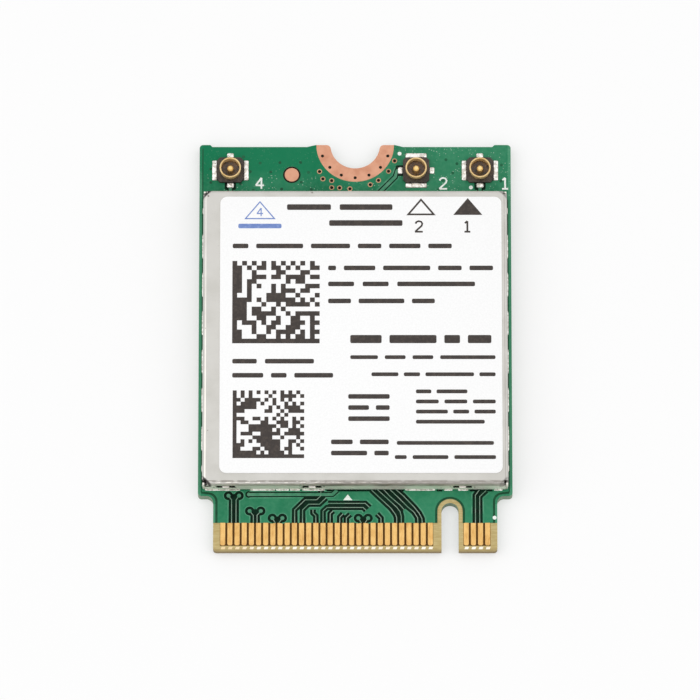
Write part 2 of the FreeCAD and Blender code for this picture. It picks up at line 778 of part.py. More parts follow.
def make_label():
    """Round-cornered adhesive label on the cover."""
    body = new_body("label")
    sketch = new_sketch(body, "outline", SHIELD_TOP)
    outline = rectangle(
        f"-({SHIELD_SIDE}) + sizes.label_side_margin + sizes.label_shift",
        f"{SHIELD_SIDE} - sizes.label_side_margin + sizes.label_shift",
        f"{SHIELD_FRONT} + sizes.label_front_margin", f"{SHIELD_BACK} - sizes.label_back_margin")
    draw_polygon(sketch, outline)
    blank = pad(body, sketch, "blank", "sizes.label_thickness")
    fillet(body, "corners", blank, upright_edges(blank, outline), "sizes.label_corner")
    return body


# Chips under the shield

def chip_outline(kind, across, along):
    """Outline of one chip about its middle."""
    return rectangle(*centred(across, f"sizes.{kind}_width"), *centred(along, f"sizes.{kind}_length"))


def make_chips(label, kind, places, marked=True):
    """Moulded chips of one kind, bevelled on top, with a dot at the first lead."""
    body = new_body(label)
    top = f"{BOARD_TOP} + sizes.{kind}_height"
    sketch = new_sketch(body, "outlines", BOARD_TOP)
    for across, along in places:
        draw_polygon(sketch, chip_outline(kind, across, along))
    block = pad(body, sketch, "blocks", f"sizes.{kind}_height")
    chamfer(body, "top_edges", block, level_edges(block, top), "sizes.chip_edge")
    if marked:
        marks = new_sketch(body, "marks", top)
        for across, along in places:
            corner = chip_outline(kind, across, along)[3]
            inset = "sizes.chip_mark_inset"
            draw_circle(marks, f"{corner[0]} + {inset}", f"{corner[1]} - {inset}", "sizes.chip_mark_radius")
        pocket(body, marks, "mark_dots", "sizes.chip_mark_depth")
    return body


def make_crystal():
    """Crystal in a ceramic tray with a seam-welded lid."""
    body = new_body("crystal_can")
    across = f"{SHIELD_SIDE} - sizes.crystal_inset"
    outline = chip_outline("crystal", across, f"{SHIELD_MIDDLE} + sizes.crystal_y")
    tray = new_sketch(body, "tray", BOARD_TOP)
    draw_polygon(tray, outline)
    pad(body, tray, "tray_block", "sizes.crystal_height - sizes.crystal_lid")
    left, right, front, back = outline[0][0], outline[1][0], outline[0][1], outline[2][1]
    rim = "sizes.crystal_rim"
    lid = new_sketch(body, "lid", f"{BOARD_TOP} + sizes.crystal_height - sizes.crystal_lid")
    across, along = (f"{left} + {rim}", f"{right} - {rim}"), (f"{front} + {rim}", f"{back} - {rim}")
    draw_polygon(lid, rectangle(*across, *along))
    pad(body, lid, "lid_plate", "sizes.crystal_lid")
    return body


def make_capacitor_pieces(label, spans):
    """One piece of every capacitor in the two rows beside the radio chip.

    Each span is the piece's (start, end) along the capacitor, from its middle.
    """
    body = new_body(label)
    away = "sizes.radio_width / 2 + sizes.capacitor_gap + sizes.capacitor_body / 2 + sizes.capacitor_cap"
    reach = f"{(CAPACITORS_PER_ROW - 1) / 2} * sizes.capacitor_pitch"
    first = f"{SHIELD_MIDDLE} + sizes.radio_y - {reach}"
    for side, sign in (("left", "-"), ("right", "+")):
        sketch = new_sketch(body, f"{side}_row", BOARD_TOP)
        for start, end in spans:
            middle = f"sizes.radio_x {sign} ({away})"
            along = centred(first, "sizes.capacitor_width")
            draw_polygon(sketch, rectangle(f"{middle} + {start}", f"{middle} + {end}", *along))
        block = pad(body, sketch, f"{side}_block", "sizes.capacitor_height")
        repeat(body, f"{side}_blocks", block, "Y_Axis", "sizes.capacitor_pitch", CAPACITORS_PER_ROW)
    return body


def make_electronics():
    """Everything that is soldered down under the shield."""
    half = "sizes.capacitor_body / 2"
    end = f"({half} + sizes.capacitor_cap)"
    radio_place = ("sizes.radio_x", f"{SHIELD_MIDDLE} + sizes.radio_y")
    memory_place = (f"{SHIELD_SIDE} - sizes.memory_inset", f"{SHIELD_MIDDLE} + sizes.memory_y")
    regulator_y = f"{SHIELD_FRONT} + sizes.regulator_from_front"
    regulator_place = (f"{SHIELD_SIDE} - sizes.regulator_inset", regulator_y)
    inductor_y = f"{SHIELD_FRONT} + sizes.inductor_from_front"
    inductor_places = [
        (f"sizes.inductor_x - {number} * sizes.inductor_pitch", inductor_y)
        for number in range(INDUCTORS)
    ]
    front_end_y = f"{SHIELD_BACK} - sizes.front_end_from_back"
    front_end_places = [
        (f"-({SHIELD_SIDE}) + sizes.front_end_left_inset", front_end_y),
        (f"{SHIELD_SIDE} - sizes.front_end_right_inset", front_end_y),
    ]
    filter_y = f"{SHIELD_BACK} - sizes.filter_from_back"
    filter_places = [
        ("sizes.filter_left_x", filter_y),
        ("sizes.filter_middle_x", filter_y),
        (f"{SHIELD_SIDE} - sizes.filter_right_inset", filter_y),
    ]
    return [
        make_chips("radio_chip", "radio", [radio_place]),
        make_chips("front_end_modules", "front_end", front_end_places),
        make_chips("antenna_filters", "filter", filter_places, marked=False),
        make_chips("flash_memory_chip", "memory", [memory_place]),
        make_chips("voltage_regulator", "regulator", [regulator_place]),
        make_chips("power_inductors", "inductor", inductor_places, marked=False),
        make_crystal(),
        make_capacitor_pieces("ceramic_capacitors", [(f"-{half}", half)]),
        make_capacitor_pieces("capacitor_end_caps", [(f"-{end}", f"-{half}"), (half, end)]),
    ]


# Build, check and write

def check_document(pieces):
    """Stop on any failed object or bad shape."""
    for item in doc.Objects:
        if {"Invalid", "Error"} & set(item.State):
            raise RuntimeError(f"{item.Label} failed: {item.State}")
    for piece in pieces:
        if piece.Shape.isNull() or not piece.Shape.isValid():
            raise RuntimeError(f"{piece.Label} has no valid shape")


def main():
    """Make every sub-part and write its STEP file."""
    fill_sheet()
    pieces = [
        make_circuit_board(),
        make_edge_contacts("edge_contacts_top", COPPER_TOP_FLOOR, outer_contact(ROW_OFFSET), TOP_BESIDE_KEY),
        make_edge_contacts("edge_contacts_bottom", COPPER_BOTTOM_FACE, outer_contact(0), BOTTOM_BESIDE_KEY),
        make_ground_ring("ground_ring_top", COPPER_TOP_FLOOR),
        make_ground_ring("ground_ring_bottom", COPPER_BOTTOM_FACE),
        make_fiducial(),
        make_shield_frame(),
        make_shield_cover(),
        make_label(),
    ]
    for name, (middle, turned) in RECEPTACLES.items():
        pieces += make_receptacle(name, middle, turned)
    pieces += make_electronics()
    doc.recompute()
    check_document(pieces)
    os.makedirs("parts", exist_ok=True)
    for piece in pieces:
        piece.Shape.exportStep(f"parts/{piece.Label}.step")
        solids = len(piece.Shape.Solids)
        print(f"{piece.Label}: {solids} solids, {piece.Shape.Volume:.4f} mm3, {piece.Shape.BoundBox}")


main()
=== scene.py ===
"""Looks of a plug-in wireless card: finishes, fine copper, solder, print and label.

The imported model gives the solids, and this file adds what the eye sees close up.
Sizes are in millimetres unless a name says otherwise; the scene itself is in metres,
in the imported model's frame: +Z out of the shielded face, +Y towards the screw notch.
"""

import logging
import math
import random
from collections.abc import Callable, Iterable, Iterator, Sequence
from contextlib import contextmanager
from dataclasses import dataclass, field
from enum import Enum
from functools import reduce
from operator import or_

import bpy
from bpy.types import Material, MeshEdge, MeshPolygon, Node, NodeSocket, NodeTree, Object
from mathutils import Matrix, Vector

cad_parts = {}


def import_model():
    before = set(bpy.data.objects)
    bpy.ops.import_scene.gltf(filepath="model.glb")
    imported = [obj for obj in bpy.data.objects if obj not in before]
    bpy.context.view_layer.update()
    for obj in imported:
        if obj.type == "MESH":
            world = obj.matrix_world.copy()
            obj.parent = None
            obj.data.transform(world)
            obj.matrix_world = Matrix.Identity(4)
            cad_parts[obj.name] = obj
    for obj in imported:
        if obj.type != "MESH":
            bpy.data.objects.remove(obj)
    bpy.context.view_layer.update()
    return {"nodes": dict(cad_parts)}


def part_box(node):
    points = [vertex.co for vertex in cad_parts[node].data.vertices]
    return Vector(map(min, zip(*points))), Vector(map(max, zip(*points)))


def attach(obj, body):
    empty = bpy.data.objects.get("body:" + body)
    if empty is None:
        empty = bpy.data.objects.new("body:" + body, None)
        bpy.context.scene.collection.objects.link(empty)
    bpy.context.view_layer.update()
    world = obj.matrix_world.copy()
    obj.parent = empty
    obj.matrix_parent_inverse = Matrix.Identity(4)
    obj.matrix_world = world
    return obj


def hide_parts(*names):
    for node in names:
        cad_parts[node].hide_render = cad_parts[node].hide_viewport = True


LOG = logging.getLogger("wireless_card")
MM = 0.001
BODY = "root"
BOARD_TOP = 0.8
LONG_WALL_SNAPS = (-9.04, -3.01, 7.5)
SIDE_WALL_SNAPS = (-9.22, 9.81)
SNAP_LEVEL = 1.52
SHIELD_MIDDLE = 0.295
ROUNDED = 80.0

Point = tuple[float, float]
Triple = tuple[float, float, float]
Colour = tuple[float, float, float]

WHITE: Colour = (1.0, 1.0, 1.0)


class Slot(Enum):
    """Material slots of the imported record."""

    MASK = "solder_mask"
    CONTACT_GOLD = "contact_gold"
    COPPER = "bare_copper"
    TIN_SHEET = "tinned_sheet"
    PAPER = "label_paper"
    RESIN = "receptacle_resin"
    SOLDER = "solder_tin"


class Kind(Enum):
    """Kinds of mesh element: the select mode and the mesh's own collection."""

    CORNER = ("VERT", "vertices")
    EDGE = ("EDGE", "edges")
    FACE = ("FACE", "polygons")


class Digit(Enum):
    """Port numbers as strokes, in heights from the middle of the number."""

    ONE = (((-0.2, 0.3), (0.02, 0.5)), ((0.02, 0.5), (0.02, -0.5)), ((-0.24, -0.5), (0.28, -0.5)))
    TWO = (
        ((-0.3, 0.26), (-0.22, 0.42), (-0.02, 0.5), (0.2, 0.44), (0.3, 0.26), (0.24, 0.06), (-0.34, -0.5)),
        ((-0.36, -0.5), (0.34, -0.5)),
    )
    FOUR = (((0.14, -0.5), (0.14, 0.5)), ((0.14, 0.5), (-0.34, -0.18)), ((-0.36, -0.18), (0.36, -0.18)))


# Shader building

def screen(red: float, green: float, blue: float) -> Colour:
    """Turn a screen colour into scene-linear numbers.

    Args:
        red: Red from 0 to 255.
        green: Green from 0 to 255.
        blue: Blue from 0 to 255.

    Returns:
        The three linear channels.
    """
    def linear(channel: float) -> float:
        """Linear value of one channel."""
        share = channel / 255
        return share / 12.92 if share <= 0.04045 else ((share + 0.055) / 1.055) ** 2.4

    return linear(red), linear(green), linear(blue)


class Value:
    """A number socket of a shader tree; arithmetic on it adds Math nodes."""

    def __init__(self, tree: "Shader", socket: NodeSocket) -> None:
        """Wrap an output socket of a tree."""
        self.tree = tree
        self.socket = socket

    def _math(self, operation: str, first: "Value | float", second: "Value | float" = 0.0) -> "Value":
        """Add one Math node and wrap its result."""
        node = self.tree.node("ShaderNodeMath", {"operation": operation}, {0: first, 1: second})
        return Value(self.tree, node.outputs[0])

    def __add__(self, other: "Value | float") -> "Value":
        """Sum."""
        return self._math("ADD", self, other)

    def __radd__(self, other: float) -> "Value":
        """Sum with a plain number first."""
        return self._math("ADD", other, self)

    def __sub__(self, other: "Value | float") -> "Value":
        """Difference."""
        return self._math("SUBTRACT", self, other)

    def __rsub__(self, other: float) -> "Value":
        """Difference from a plain number."""
        return self._math("SUBTRACT", other, self)

    def __mul__(self, other: "Value | float") -> "Value":
        """Product."""
        return self._math("MULTIPLY", self, other)

    def __rmul__(self, other: float) -> "Value":
        """Product with a plain number first."""
        return self._math("MULTIPLY", other, self)

    def __abs__(self) -> "Value":
        """Size without its sign."""
        return self._math("ABSOLUTE", self)

    def __gt__(self, other: "Value | float") -> "Value":
        """1 where this is the larger."""
        return self._math("GREATER_THAN", self, other)

    def __lt__(self, other: "Value | float") -> "Value":
        """1 where this is the smaller."""
        return self._math("LESS_THAN", self, other)

    def __and__(self, other: "Value") -> "Value":
        """Both of two masks."""
        return self._math("MULTIPLY", self, other)

    def __or__(self, other: "Value") -> "Value":
        """Either of two masks."""
        return self._math("MAXIMUM", self, other)

    def ease(self, low: float, high: float) -> "Value":
        """Run smoothly from 0 at one value to 1 at another.

        Args:
            low: Value that gives 0.
            high: Value that gives 1.

        Returns:
            The eased value.
        """
        node = self.tree.node(
            "ShaderNodeMapRange", {"interpolation_type": "SMOOTHSTEP"}, {0: self, 1: low, 2: high})
        return Value(self.tree, node.outputs[0])


Input = Value | NodeSocket | float | tuple


class Shader:
    """A node tree with short ways to add nodes; places are in millimetres."""

    def __init__(self, tree: NodeTree) -> None:
        """Empty a tree and start on it."""
        self.tree = tree
        tree.nodes.clear()

    @classmethod
    def of_material(cls, name: str) -> tuple["Shader", Material]:
        """Start a new material.

        Args:
            name: The material's name.

        Returns:
            Its shader tree and the material.
        """
        material = bpy.data.materials.new(name)
        material.use_nodes = True
        return cls(material.node_tree), material

    def node(self, kind: str, settings: dict[str, object] | None = None,
             inputs: dict[int | str, Input] | None = None) -> Node:
        """Add a node.

        Args:
            kind: The node's type.
            settings: Its properties, set before the sockets.
            inputs: Values or links by socket name or number.

        Returns:
            The new node.
        """
        node = self.tree.nodes.new(kind)
        for key, setting in (settings or {}).items():
            setattr(node, key, setting)
        for key, given in (inputs or {}).items():
            source = given.socket if isinstance(given, Value) else given
            if isinstance(source, NodeSocket):
                self.tree.links.new(source, node.inputs[key])
            elif isinstance(source, tuple) and node.inputs[key].type == "RGBA":
                node.inputs[key].default_value = (*source, 1.0)
            else:
                node.inputs[key].default_value = source
        return node

    def spot(self, stretch: Triple = (1, 1, 1)) -> NodeSocket:
        """Place on the part in millimetres.

        Args:
            stretch: How many times finer a pattern gets along X, Y and Z.

        Returns:
            A vector socket.
        """
        place = self.node("ShaderNodeTexCoord").outputs["Object"]
        factor = tuple(part / MM for part in stretch)
        return self.node("ShaderNodeVectorMath", {"operation": "MULTIPLY"}, {0: place, 1: factor}).outputs[0]

    def axes(self) -> tuple[Value, Value, Value]:
        """The place along X, Y and Z, in millimetres."""
        split = self.node("ShaderNodeSeparateXYZ", None, {0: self.spot()})
        return Value(self, split.outputs[0]), Value(self, split.outputs[1]), Value(self, split.outputs[2])

    def level(self) -> Value:
        """1 on faces that lie flat, 0 on upright ones."""
        normal = self.node("ShaderNodeTexCoord").outputs["Normal"]
        return abs(Value(self, self.node("ShaderNodeSeparateXYZ", None, {0: normal}).outputs[2]))

    def clouds(self, size: float, low: float, high: float, detail: float = 3.0,
               stretch: Triple = (1, 1, 1)) -> Value:
        """Soft random patches.

        Args:
            size: Size of a patch.
            low: Noise level that gives 0.
            high: Noise level that gives 1.
            detail: Octaves of finer noise.
            stretch: How many times finer the patches get along X, Y and Z.

        Returns:
            A value from 0 to 1.
        """
        noise = self.node("ShaderNodeTexNoise", None,
                          {"Vector": self.spot(stretch), "Scale": 1 / size, "Detail": detail})
        return Value(self, noise.outputs[0]).ease(low, high)

    def dots(self, size: float, low: float, high: float, flat: bool = False) -> Value:
        """Scattered round dots, 1 inside a dot.

        Args:
            size: Mean distance between dots.
            low: Distance from a dot's middle, in mean distances, where it is full.
            high: Distance where it ends.
            flat: Whether the dots stand upright like pins, alike at every height.

        Returns:
            A value from 0 to 1.
        """
        cells = self.node("ShaderNodeTexVoronoi", {"voronoi_dimensions": "2D" if flat else "3D"},
                          {"Vector": self.spot(), "Scale": 1 / size})
        return 1 - Value(self, cells.outputs[0]).ease(low, high)

    def mix(self, first: Input, second: Input, share: Input) -> NodeSocket:
        """Blend two colours.

        Args:
            first: Colour at share 0.
            second: Colour at share 1.
            share: Share of the second colour.

        Returns:
            The blended colour.
        """
        return self.node("ShaderNodeMix", {"data_type": "RGBA"}, {0: share, 6: first, 7: second}).outputs[2]

    def surface(self, colour: Input, roughness: Input, metallic: Input = 0.0,
                height: Value | None = None, depth: float = 0.01, **others: Input) -> None:
        """Close the tree with one surface shader.

        Args:
            colour: Base colour.
            roughness: Roughness.
            metallic: Share of metal.
            height: Relief from 0 to 1, if there is any.
            depth: Depth of the relief.
            **others: Inputs of other sockets by name, with _ for a space.
        """
        inputs = {"Base Color": colour, "Roughness": roughness, "Metallic": metallic}
        inputs |= {name.replace("_", " "): given for name, given in others.items()}
        if height is not None:
            bump = self.node("ShaderNodeBump", None, {"Height": height, "Distance": depth * MM})
            inputs["Normal"] = bump.outputs[0]
        shader = self.node("ShaderNodeBsdfPrincipled", None, inputs)
        self.node("ShaderNodeOutputMaterial", None, {"Surface": shader.outputs[0]})


# Finishes

def near_snaps(x: Value, y: Value, walls: tuple[Value, Value], reach: float) -> Value:
    """Walls near a place where frame and cover snap together.

    Args:
        x: Place along X.
        y: Place along Y.
        walls: 1 on the long walls, and 1 on the side walls.
        reach: How far from the middle of a snap.

    Returns:
        1 near a snap.
    """
    spots = [walls[0] & (abs(x - place) < reach) for place in LONG_WALL_SNAPS]
    spots += [walls[1] & (abs(y - place) < reach) for place in SIDE_WALL_SNAPS]
    return reduce(or_, spots)


@dataclass(frozen=True)
class BoardFinish:
    """Glass laminate with a green mask on its two faces."""

    mask: Colour = screen(36, 127, 89)
    mask_dark: Colour = screen(4, 108, 70)
    mask_light: Colour = screen(84, 153, 118)
    mask_deep: Colour = screen(0, 116, 76)
    covered_via: Colour = screen(4, 70, 42)
    speck: Colour = screen(196, 218, 202)
    laminate: Colour = screen(200, 182, 130)
    laminate_dark: Colour = screen(184, 163, 108)
    bevel: Colour = screen(140, 122, 88)
    # Darker laminate tone with painted shade of the recessed gaps between contacts.
    tone_and_shade_between_contacts: Colour = screen(84, 54, 14)
    # Painted shade on the bare floors of the openings behind the ring front.
    well_shade: Colour = screen(24, 26, 14)
    side: Colour = screen(150, 168, 146)
    side_dark: Colour = screen(108, 124, 104)
    flat: float = 0.9
    sloping: float = 0.5
    face_level: float = 0.79
    mask_edge: float = -12.96
    contact_foot: float = -14.63
    contact_rows: tuple[Point, ...] = ((-9.45, 5.45), (7.55, 9.45))
    bevel_start: float = -14.6
    bevel_levels: Point = (0.5, 0.76)
    nose: float = -14.7
    pour_side: float = 10.79
    tongue_pour_side: float = 9.72
    tongue_start: float = -11.6
    shield_front: float = -10.6
    shield_back: float = 11.14
    ring_front: float = 9.0

    def make(self) -> Material:
        """Build the material.

        Returns:
            The finished material.
        """
        tree, material = Shader.of_material("green_mask_on_laminate")
        _, _, z = tree.axes()
        level = tree.level()
        fine = tree.clouds(0.3, 0.35, 0.7)
        weave = tree.clouds(0.5, 0.3, 0.7, detail=1.0, stretch=(1, 0.12, 1))
        face = (level > self.flat) & ((z > self.face_level) | (z < BOARD_TOP - self.face_level))
        colour = tree.mix(self._bare(tree, level), self._mask(tree, fine, weave), face)
        rough = 0.62 - face * (0.3 - fine * 0.1)
        tree.surface(colour, rough, height=fine * 0.5 + weave * 0.5, depth=0.004, Specular_IOR_Level=0.16)
        return material

    def _mask(self, tree: Shader, fine: Value, weave: Value) -> NodeSocket:
        """Colour of the mask, with flux specks on top and covered vias on the underside.

        Args:
            tree: The material's shader tree.
            fine: Fine mottling.
            weave: Glass weave that shows through.

        Returns:
            The colour.
        """
        x, y, z = tree.axes()
        top = z > self.face_level
        behind = y > self.shield_back
        shade = tree.clouds(5.0, 0.36, 0.64, detail=2.0)
        mask = tree.mix(self.mask_dark, self.mask, shade * 0.7 + 0.3 - behind * 0.3)
        margin = (abs(x) > self.pour_side) | ((y < self.tongue_start) & (abs(x) > self.tongue_pour_side))
        paler = fine * 0.16 + weave * 0.08 + margin * 0.5
        # Behind the shield the mask is painted paler towards the right, a painted sheen.
        paler = paler + (y < self.shield_front) * 0.1 + behind * x.ease(-4, 5) * 0.14
        mask = tree.mix(mask, self.mask_light, paler)
        mask = tree.mix(mask, self.mask_deep, (1 - x.ease(-3, 2)) & y.ease(12.0, 13.4) & top * 0.8)
        flux = tree.clouds(1.1, 0.44, 0.58) & behind & top
        flux = flux & (1 - (y.ease(12.5, 13.3) & (1 - x.ease(2, 5))) * 0.85)
        mask = tree.mix(mask, self.speck, tree.dots(0.17, 0.1, 0.25) * flux * 0.7)
        stitching = tree.dots(1.7, 0.06, 0.075, flat=True) & (z < BOARD_TOP - self.face_level)
        return tree.mix(mask, self.covered_via, stitching * 0.7)

    def _bare(self, tree: Shader, level: Value) -> NodeSocket:
        """Colour of the laminate where no mask covers it, with painted shade between the contacts and on the
        floors behind the ring front.

        Args:
            tree: The material's shader tree.
            level: 1 on faces that lie flat, 0 on upright ones.

        Returns:
            The colour.
        """
        x, y, z = tree.axes()
        flat = level > self.flat
        laminate = tree.mix(self.laminate_dark, self.laminate, tree.clouds(0.5, 0.3, 0.7, stretch=(1, 6, 1)))
        in_row = reduce(or_, [(x > start) & (x < end) for start, end in self.contact_rows])
        # Painted shade in the narrow recessed gaps between the contacts, over a darker laminate tone.
        gap = in_row & (y < self.mask_edge) & (y > self.contact_foot) & flat
        laminate = tree.mix(laminate, self.tone_and_shade_between_contacts, gap)
        # Painted shade on the opening floors behind the ring front.
        laminate = tree.mix(laminate, self.well_shade, (y > self.ring_front) & flat)
        laminate = tree.mix(laminate, self.bevel, (1 - z.ease(*self.bevel_levels)) & (y < self.bevel_start))
        layers = tree.clouds(0.8, 0.3, 0.7, detail=2.0, stretch=(0.06, 0.06, 8))
        side = tree.mix(self.side_dark, self.side, layers)
        return tree.mix(side, laminate, (level > self.sloping) | (y < self.nose))


@dataclass(frozen=True)
class MaskLineFinish:
    """Mask over copper lines or over the gaps beside them."""

    name: str
    colour: Colour
    varied: Colour
    shine: float = 0.22

    def make(self) -> Material:
        """Build the material.

        Returns:
            The finished material.
        """
        tree, material = Shader.of_material(self.name)
        patches = tree.clouds(0.6, 0.35, 0.65)
        tree.surface(tree.mix(self.colour, self.varied, patches), 0.34 + patches * 0.1,
                     height=tree.clouds(0.12, 0.3, 0.7), depth=0.002, Specular_IOR_Level=self.shine)
        return material


@dataclass(frozen=True)
class PlatingFinish:
    """Gold, copper or tin plating with fine rub marks along one axis."""

    name: str
    colour: Colour
    wear_and_painted_highlight: Colour
    roughness: float
    rub: Triple = (8, 1, 1)
    metal: float = 1.0
    patchy: float = 0.5

    def make(self) -> Material:
        """Build the material.

        Returns:
            The finished material.
        """
        tree, material = Shader.of_material(self.name)
        streaks_and_painted_light = tree.clouds(0.5, 0.35, 0.7, stretch=self.rub)
        patches = tree.clouds(0.8, 0.35, 0.7, detail=4.0)
        colour = tree.mix(self.colour, self.wear_and_painted_highlight, streaks_and_painted_light * 0.5 + patches * self.patchy)
        rough = self.roughness + streaks_and_painted_light * 0.12 + patches * 0.08
        tree.surface(colour, rough, metallic=self.metal, height=streaks_and_painted_light, depth=0.002)
        return material


@dataclass(frozen=True)
class TipFinish:
    """Bevelled contact ends with a painted glint, fainter at the left end of the row."""

    # bright is a painted glint on the gold ends; dull is their gold.
    bright: Colour = screen(255, 251, 240)
    dull: Colour = screen(236, 206, 150)
    faint_glint_end: Point = (-9.3, -5.3)

    def make(self) -> Material:
        """Build the material.

        Returns:
            The finished material.
        """
        tree, material = Shader.of_material("contact_tip_painted_glint")
        x, _, _ = tree.axes()
        patches = tree.clouds(0.8, 0.4, 0.75, detail=4.0)
        faint_glint_end = 1 - x.ease(*self.faint_glint_end)
        # Painted glint, broken by patches and faded at the left end of the row.
        colour = tree.mix(self.bright, self.dull, (patches * 0.6) | (faint_glint_end * 0.9))
        tree.surface(colour, 0.3 + patches * 0.1, metallic=0.4)
        return material


@dataclass(frozen=True)
class CoverFinish:
    """Tinned cover with handling stains, a scuffed front fold, shallow dents, and painted light and shade on
    folds, windows, corners and front wall.
    """

    bright: Colour = screen(203, 201, 196)
    dull: Colour = screen(191, 189, 183)
    # Front wall tone painted lighter than the tin of the top, standing in for light the upright wall does not
    # get.
    painted_light_wall: Colour = screen(247, 247, 233)
    # Colour of stains and dirt, also used for painted shade on the folds.
    stain_and_shade: Colour = screen(84, 70, 58)
    # Painted shade colour for the window openings and corner notches.
    hollow_shade: Colour = screen(30, 24, 20)
    # Painted highlight colour for the front and left folds.
    wear_and_painted_highlight: Colour = screen(246, 242, 234)
    half_width: float = 10.7
    half_length: float = 10.845
    front_wall: float = -10.3
    back_wall: float = 10.89
    side_wall: float = 10.45
    side_line: float = 10.5
    speck_line: float = -10.36
    fold_start: float = -10.22
    fold_full: float = -10.4
    fold_foot: Point = (-10.54, -10.46)
    dark_line: float = -10.35
    fold_highlight_line: float = -10.44
    bend_level: float = 1.9
    crest_level: float = 1.98
    top_level: float = 2.0
    corner_shade_level: float = 1.5
    slot_reach: float = 0.66
    slot_height: float = 0.2
    darkening_reach: float = 0.9

    def make(self) -> Material:
        """Build the material.

        Returns:
            The finished material.
        """
        tree, material = Shader.of_material("tinned_cover_sheet")
        x, y, z = tree.axes()
        dull = tree.clouds(2.2, 0.38, 0.68, detail=5.0)
        scuffs = tree.clouds(0.5, 0.58, 0.75, detail=4.0, stretch=(1, 7, 7))
        stains = tree.dots(1.3, 0.03, 0.1) & tree.clouds(2.0, 0.5, 0.6)
        front_wall = (1 - tree.level().ease(0.1, 0.6)) & (y < self.front_wall)
        fold = (1 - y.ease(self.fold_full, self.fold_start)) & z.ease(1.6, 1.8)
        # Painted shade in the corner notches: dark, less metallic, weaker on the right.
        to_corner = self.half_width - abs(x) + self.half_length - abs(y - SHIELD_MIDDLE)
        corner = (1 - to_corner.ease(0.56, 0.72)) & tree.clouds(0.3, 0.34, 0.46) & (z > self.corner_shade_level)
        corner = corner & (1 - (x > 0) * 0.55)
        colour = tree.mix(self.bright, self.dull, dull * 0.7 + scuffs * 0.3)
        side_line = (1 - abs(abs(x) - self.side_line).ease(0.015, 0.06)) & (z > self.bend_level)
        # Painted highlight along the left fold, fading towards the back, and painted shade along the right
        # fold.
        colour = tree.mix(colour, self.wear_and_painted_highlight, side_line & (x < 0) & (1 - y.ease(-8, 9) * 0.7))
        colour = tree.mix(colour, self.stain_and_shade, side_line & (x > 0) * 0.3)
        # Painted light: the front wall takes a near-white tone, and less metal below, so it reads lighter
        # than its lighting makes it.
        colour = tree.mix(colour, self.painted_light_wall, front_wall)
        # Handling stains, plus the dirt and painted shade of the fold.
        colour = tree.mix(colour, self.stain_and_shade, (stains * 0.7) | self._grime_and_shade(tree, fold))
        # Painted highlight: a broken near-white line along the front fold.
        colour = tree.mix(colour, self.wear_and_painted_highlight, self._fold_highlight(tree))
        smear = z.ease(1.5, 1.85) & front_wall & tree.clouds(1.6, 0.3, 0.6, detail=5.0, stretch=(1, 2, 2))
        colour = tree.mix(colour, self.stain_and_shade, smear & x.ease(-9, -2) & (0.6 - x.ease(3, 8) * 0.3))
        # Painted shade in the windows and corner notches.
        colour = self._windows(tree, tree.mix(colour, self.hollow_shade, corner))
        dents = tree.clouds(1.4, 0.2, 0.8, detail=2.0) + fold * tree.clouds(0.35, 0.3, 0.7, stretch=(1, 3, 3))
        metallic = (0.85 - stains * 0.4 - front_wall * 0.35) * (1 - corner)
        rough = 0.42 + dull * 0.08 + stains * 0.2
        tree.surface(colour, rough, metallic, height=dents + scuffs * 0.1, depth=0.012)
        return material

    def _grime_and_shade(self, tree: Shader, fold: Value) -> Value:
        """Dirt along the front fold, painted shade on its lower bend, a dark broken line on its crest, and
        specks along the left fold.

        Args:
            tree: The material's shader tree.
            fold: 1 on the front fold.

        Returns:
            How strong the dirt and painted shade are.
        """
        x, y, z = tree.axes()
        streaks_and_painted_light = (1 - abs(y - self.dark_line).ease(0.03, 0.08)) & (z > self.crest_level)
        streaks_and_painted_light = streaks_and_painted_light & tree.clouds(0.6, 0.36, 0.52, detail=5.0, stretch=(1, 4, 4))
        # Painted shade on the lower part of the front fold.
        streaks_and_painted_light = streaks_and_painted_light | (fold & (1 - y.ease(*self.fold_foot)) * 0.6)
        film = fold & (z > self.bend_level) & x.ease(-6, -1) & (0.5 - x.ease(6, 10) * 0.1)
        specks = (1 - abs(x - self.speck_line).ease(0.1, 0.2)) & tree.dots(0.8, 0.06, 0.1)
        return (streaks_and_painted_light * 0.6) | film | ((specks & (z > self.top_level)) * 0.8)

    def _fold_highlight(self, tree: Shader) -> Value:
        """Broken painted highlight along the front fold.

        Args:
            tree: The material's shader tree.

        Returns:
            How bare the sheet is.
        """
        x, y, z = tree.axes()
        line = (1 - abs(y - self.fold_highlight_line).ease(0.02, 0.055)) & (z > self.crest_level)
        broken = tree.clouds(0.36, 0.5, 0.57, detail=5.0, stretch=(1, 5, 5))
        return line & broken & (0.9 - x.ease(-3, 3) * 0.7)

    def _windows(self, tree: Shader, colour: NodeSocket) -> NodeSocket:
        """Snap windows with painted shade in their openings, and darker patches round them.

        Args:
            tree: The material's shader tree.
            colour: Colour of the sheet.

        Returns:
            The colour with the windows.
        """
        x, y, z = tree.axes()
        walls = ((y < self.front_wall) | (y > self.back_wall), abs(x) > self.side_wall)
        away = abs(z - SNAP_LEVEL)
        # Painted shade over each window opening and its reveals.
        hollow_shade = near_snaps(x, y, walls, self.slot_reach) & (away < self.slot_height)
        window_darkening = near_snaps(x, y, walls, self.darkening_reach) & (1 - away.ease(0.15, 0.4))
        window_darkening = window_darkening & tree.clouds(0.35, 0.45, 0.6)
        return tree.mix(tree.mix(colour, self.stain_and_shade, window_darkening * 0.7), self.hollow_shade, hollow_shade)


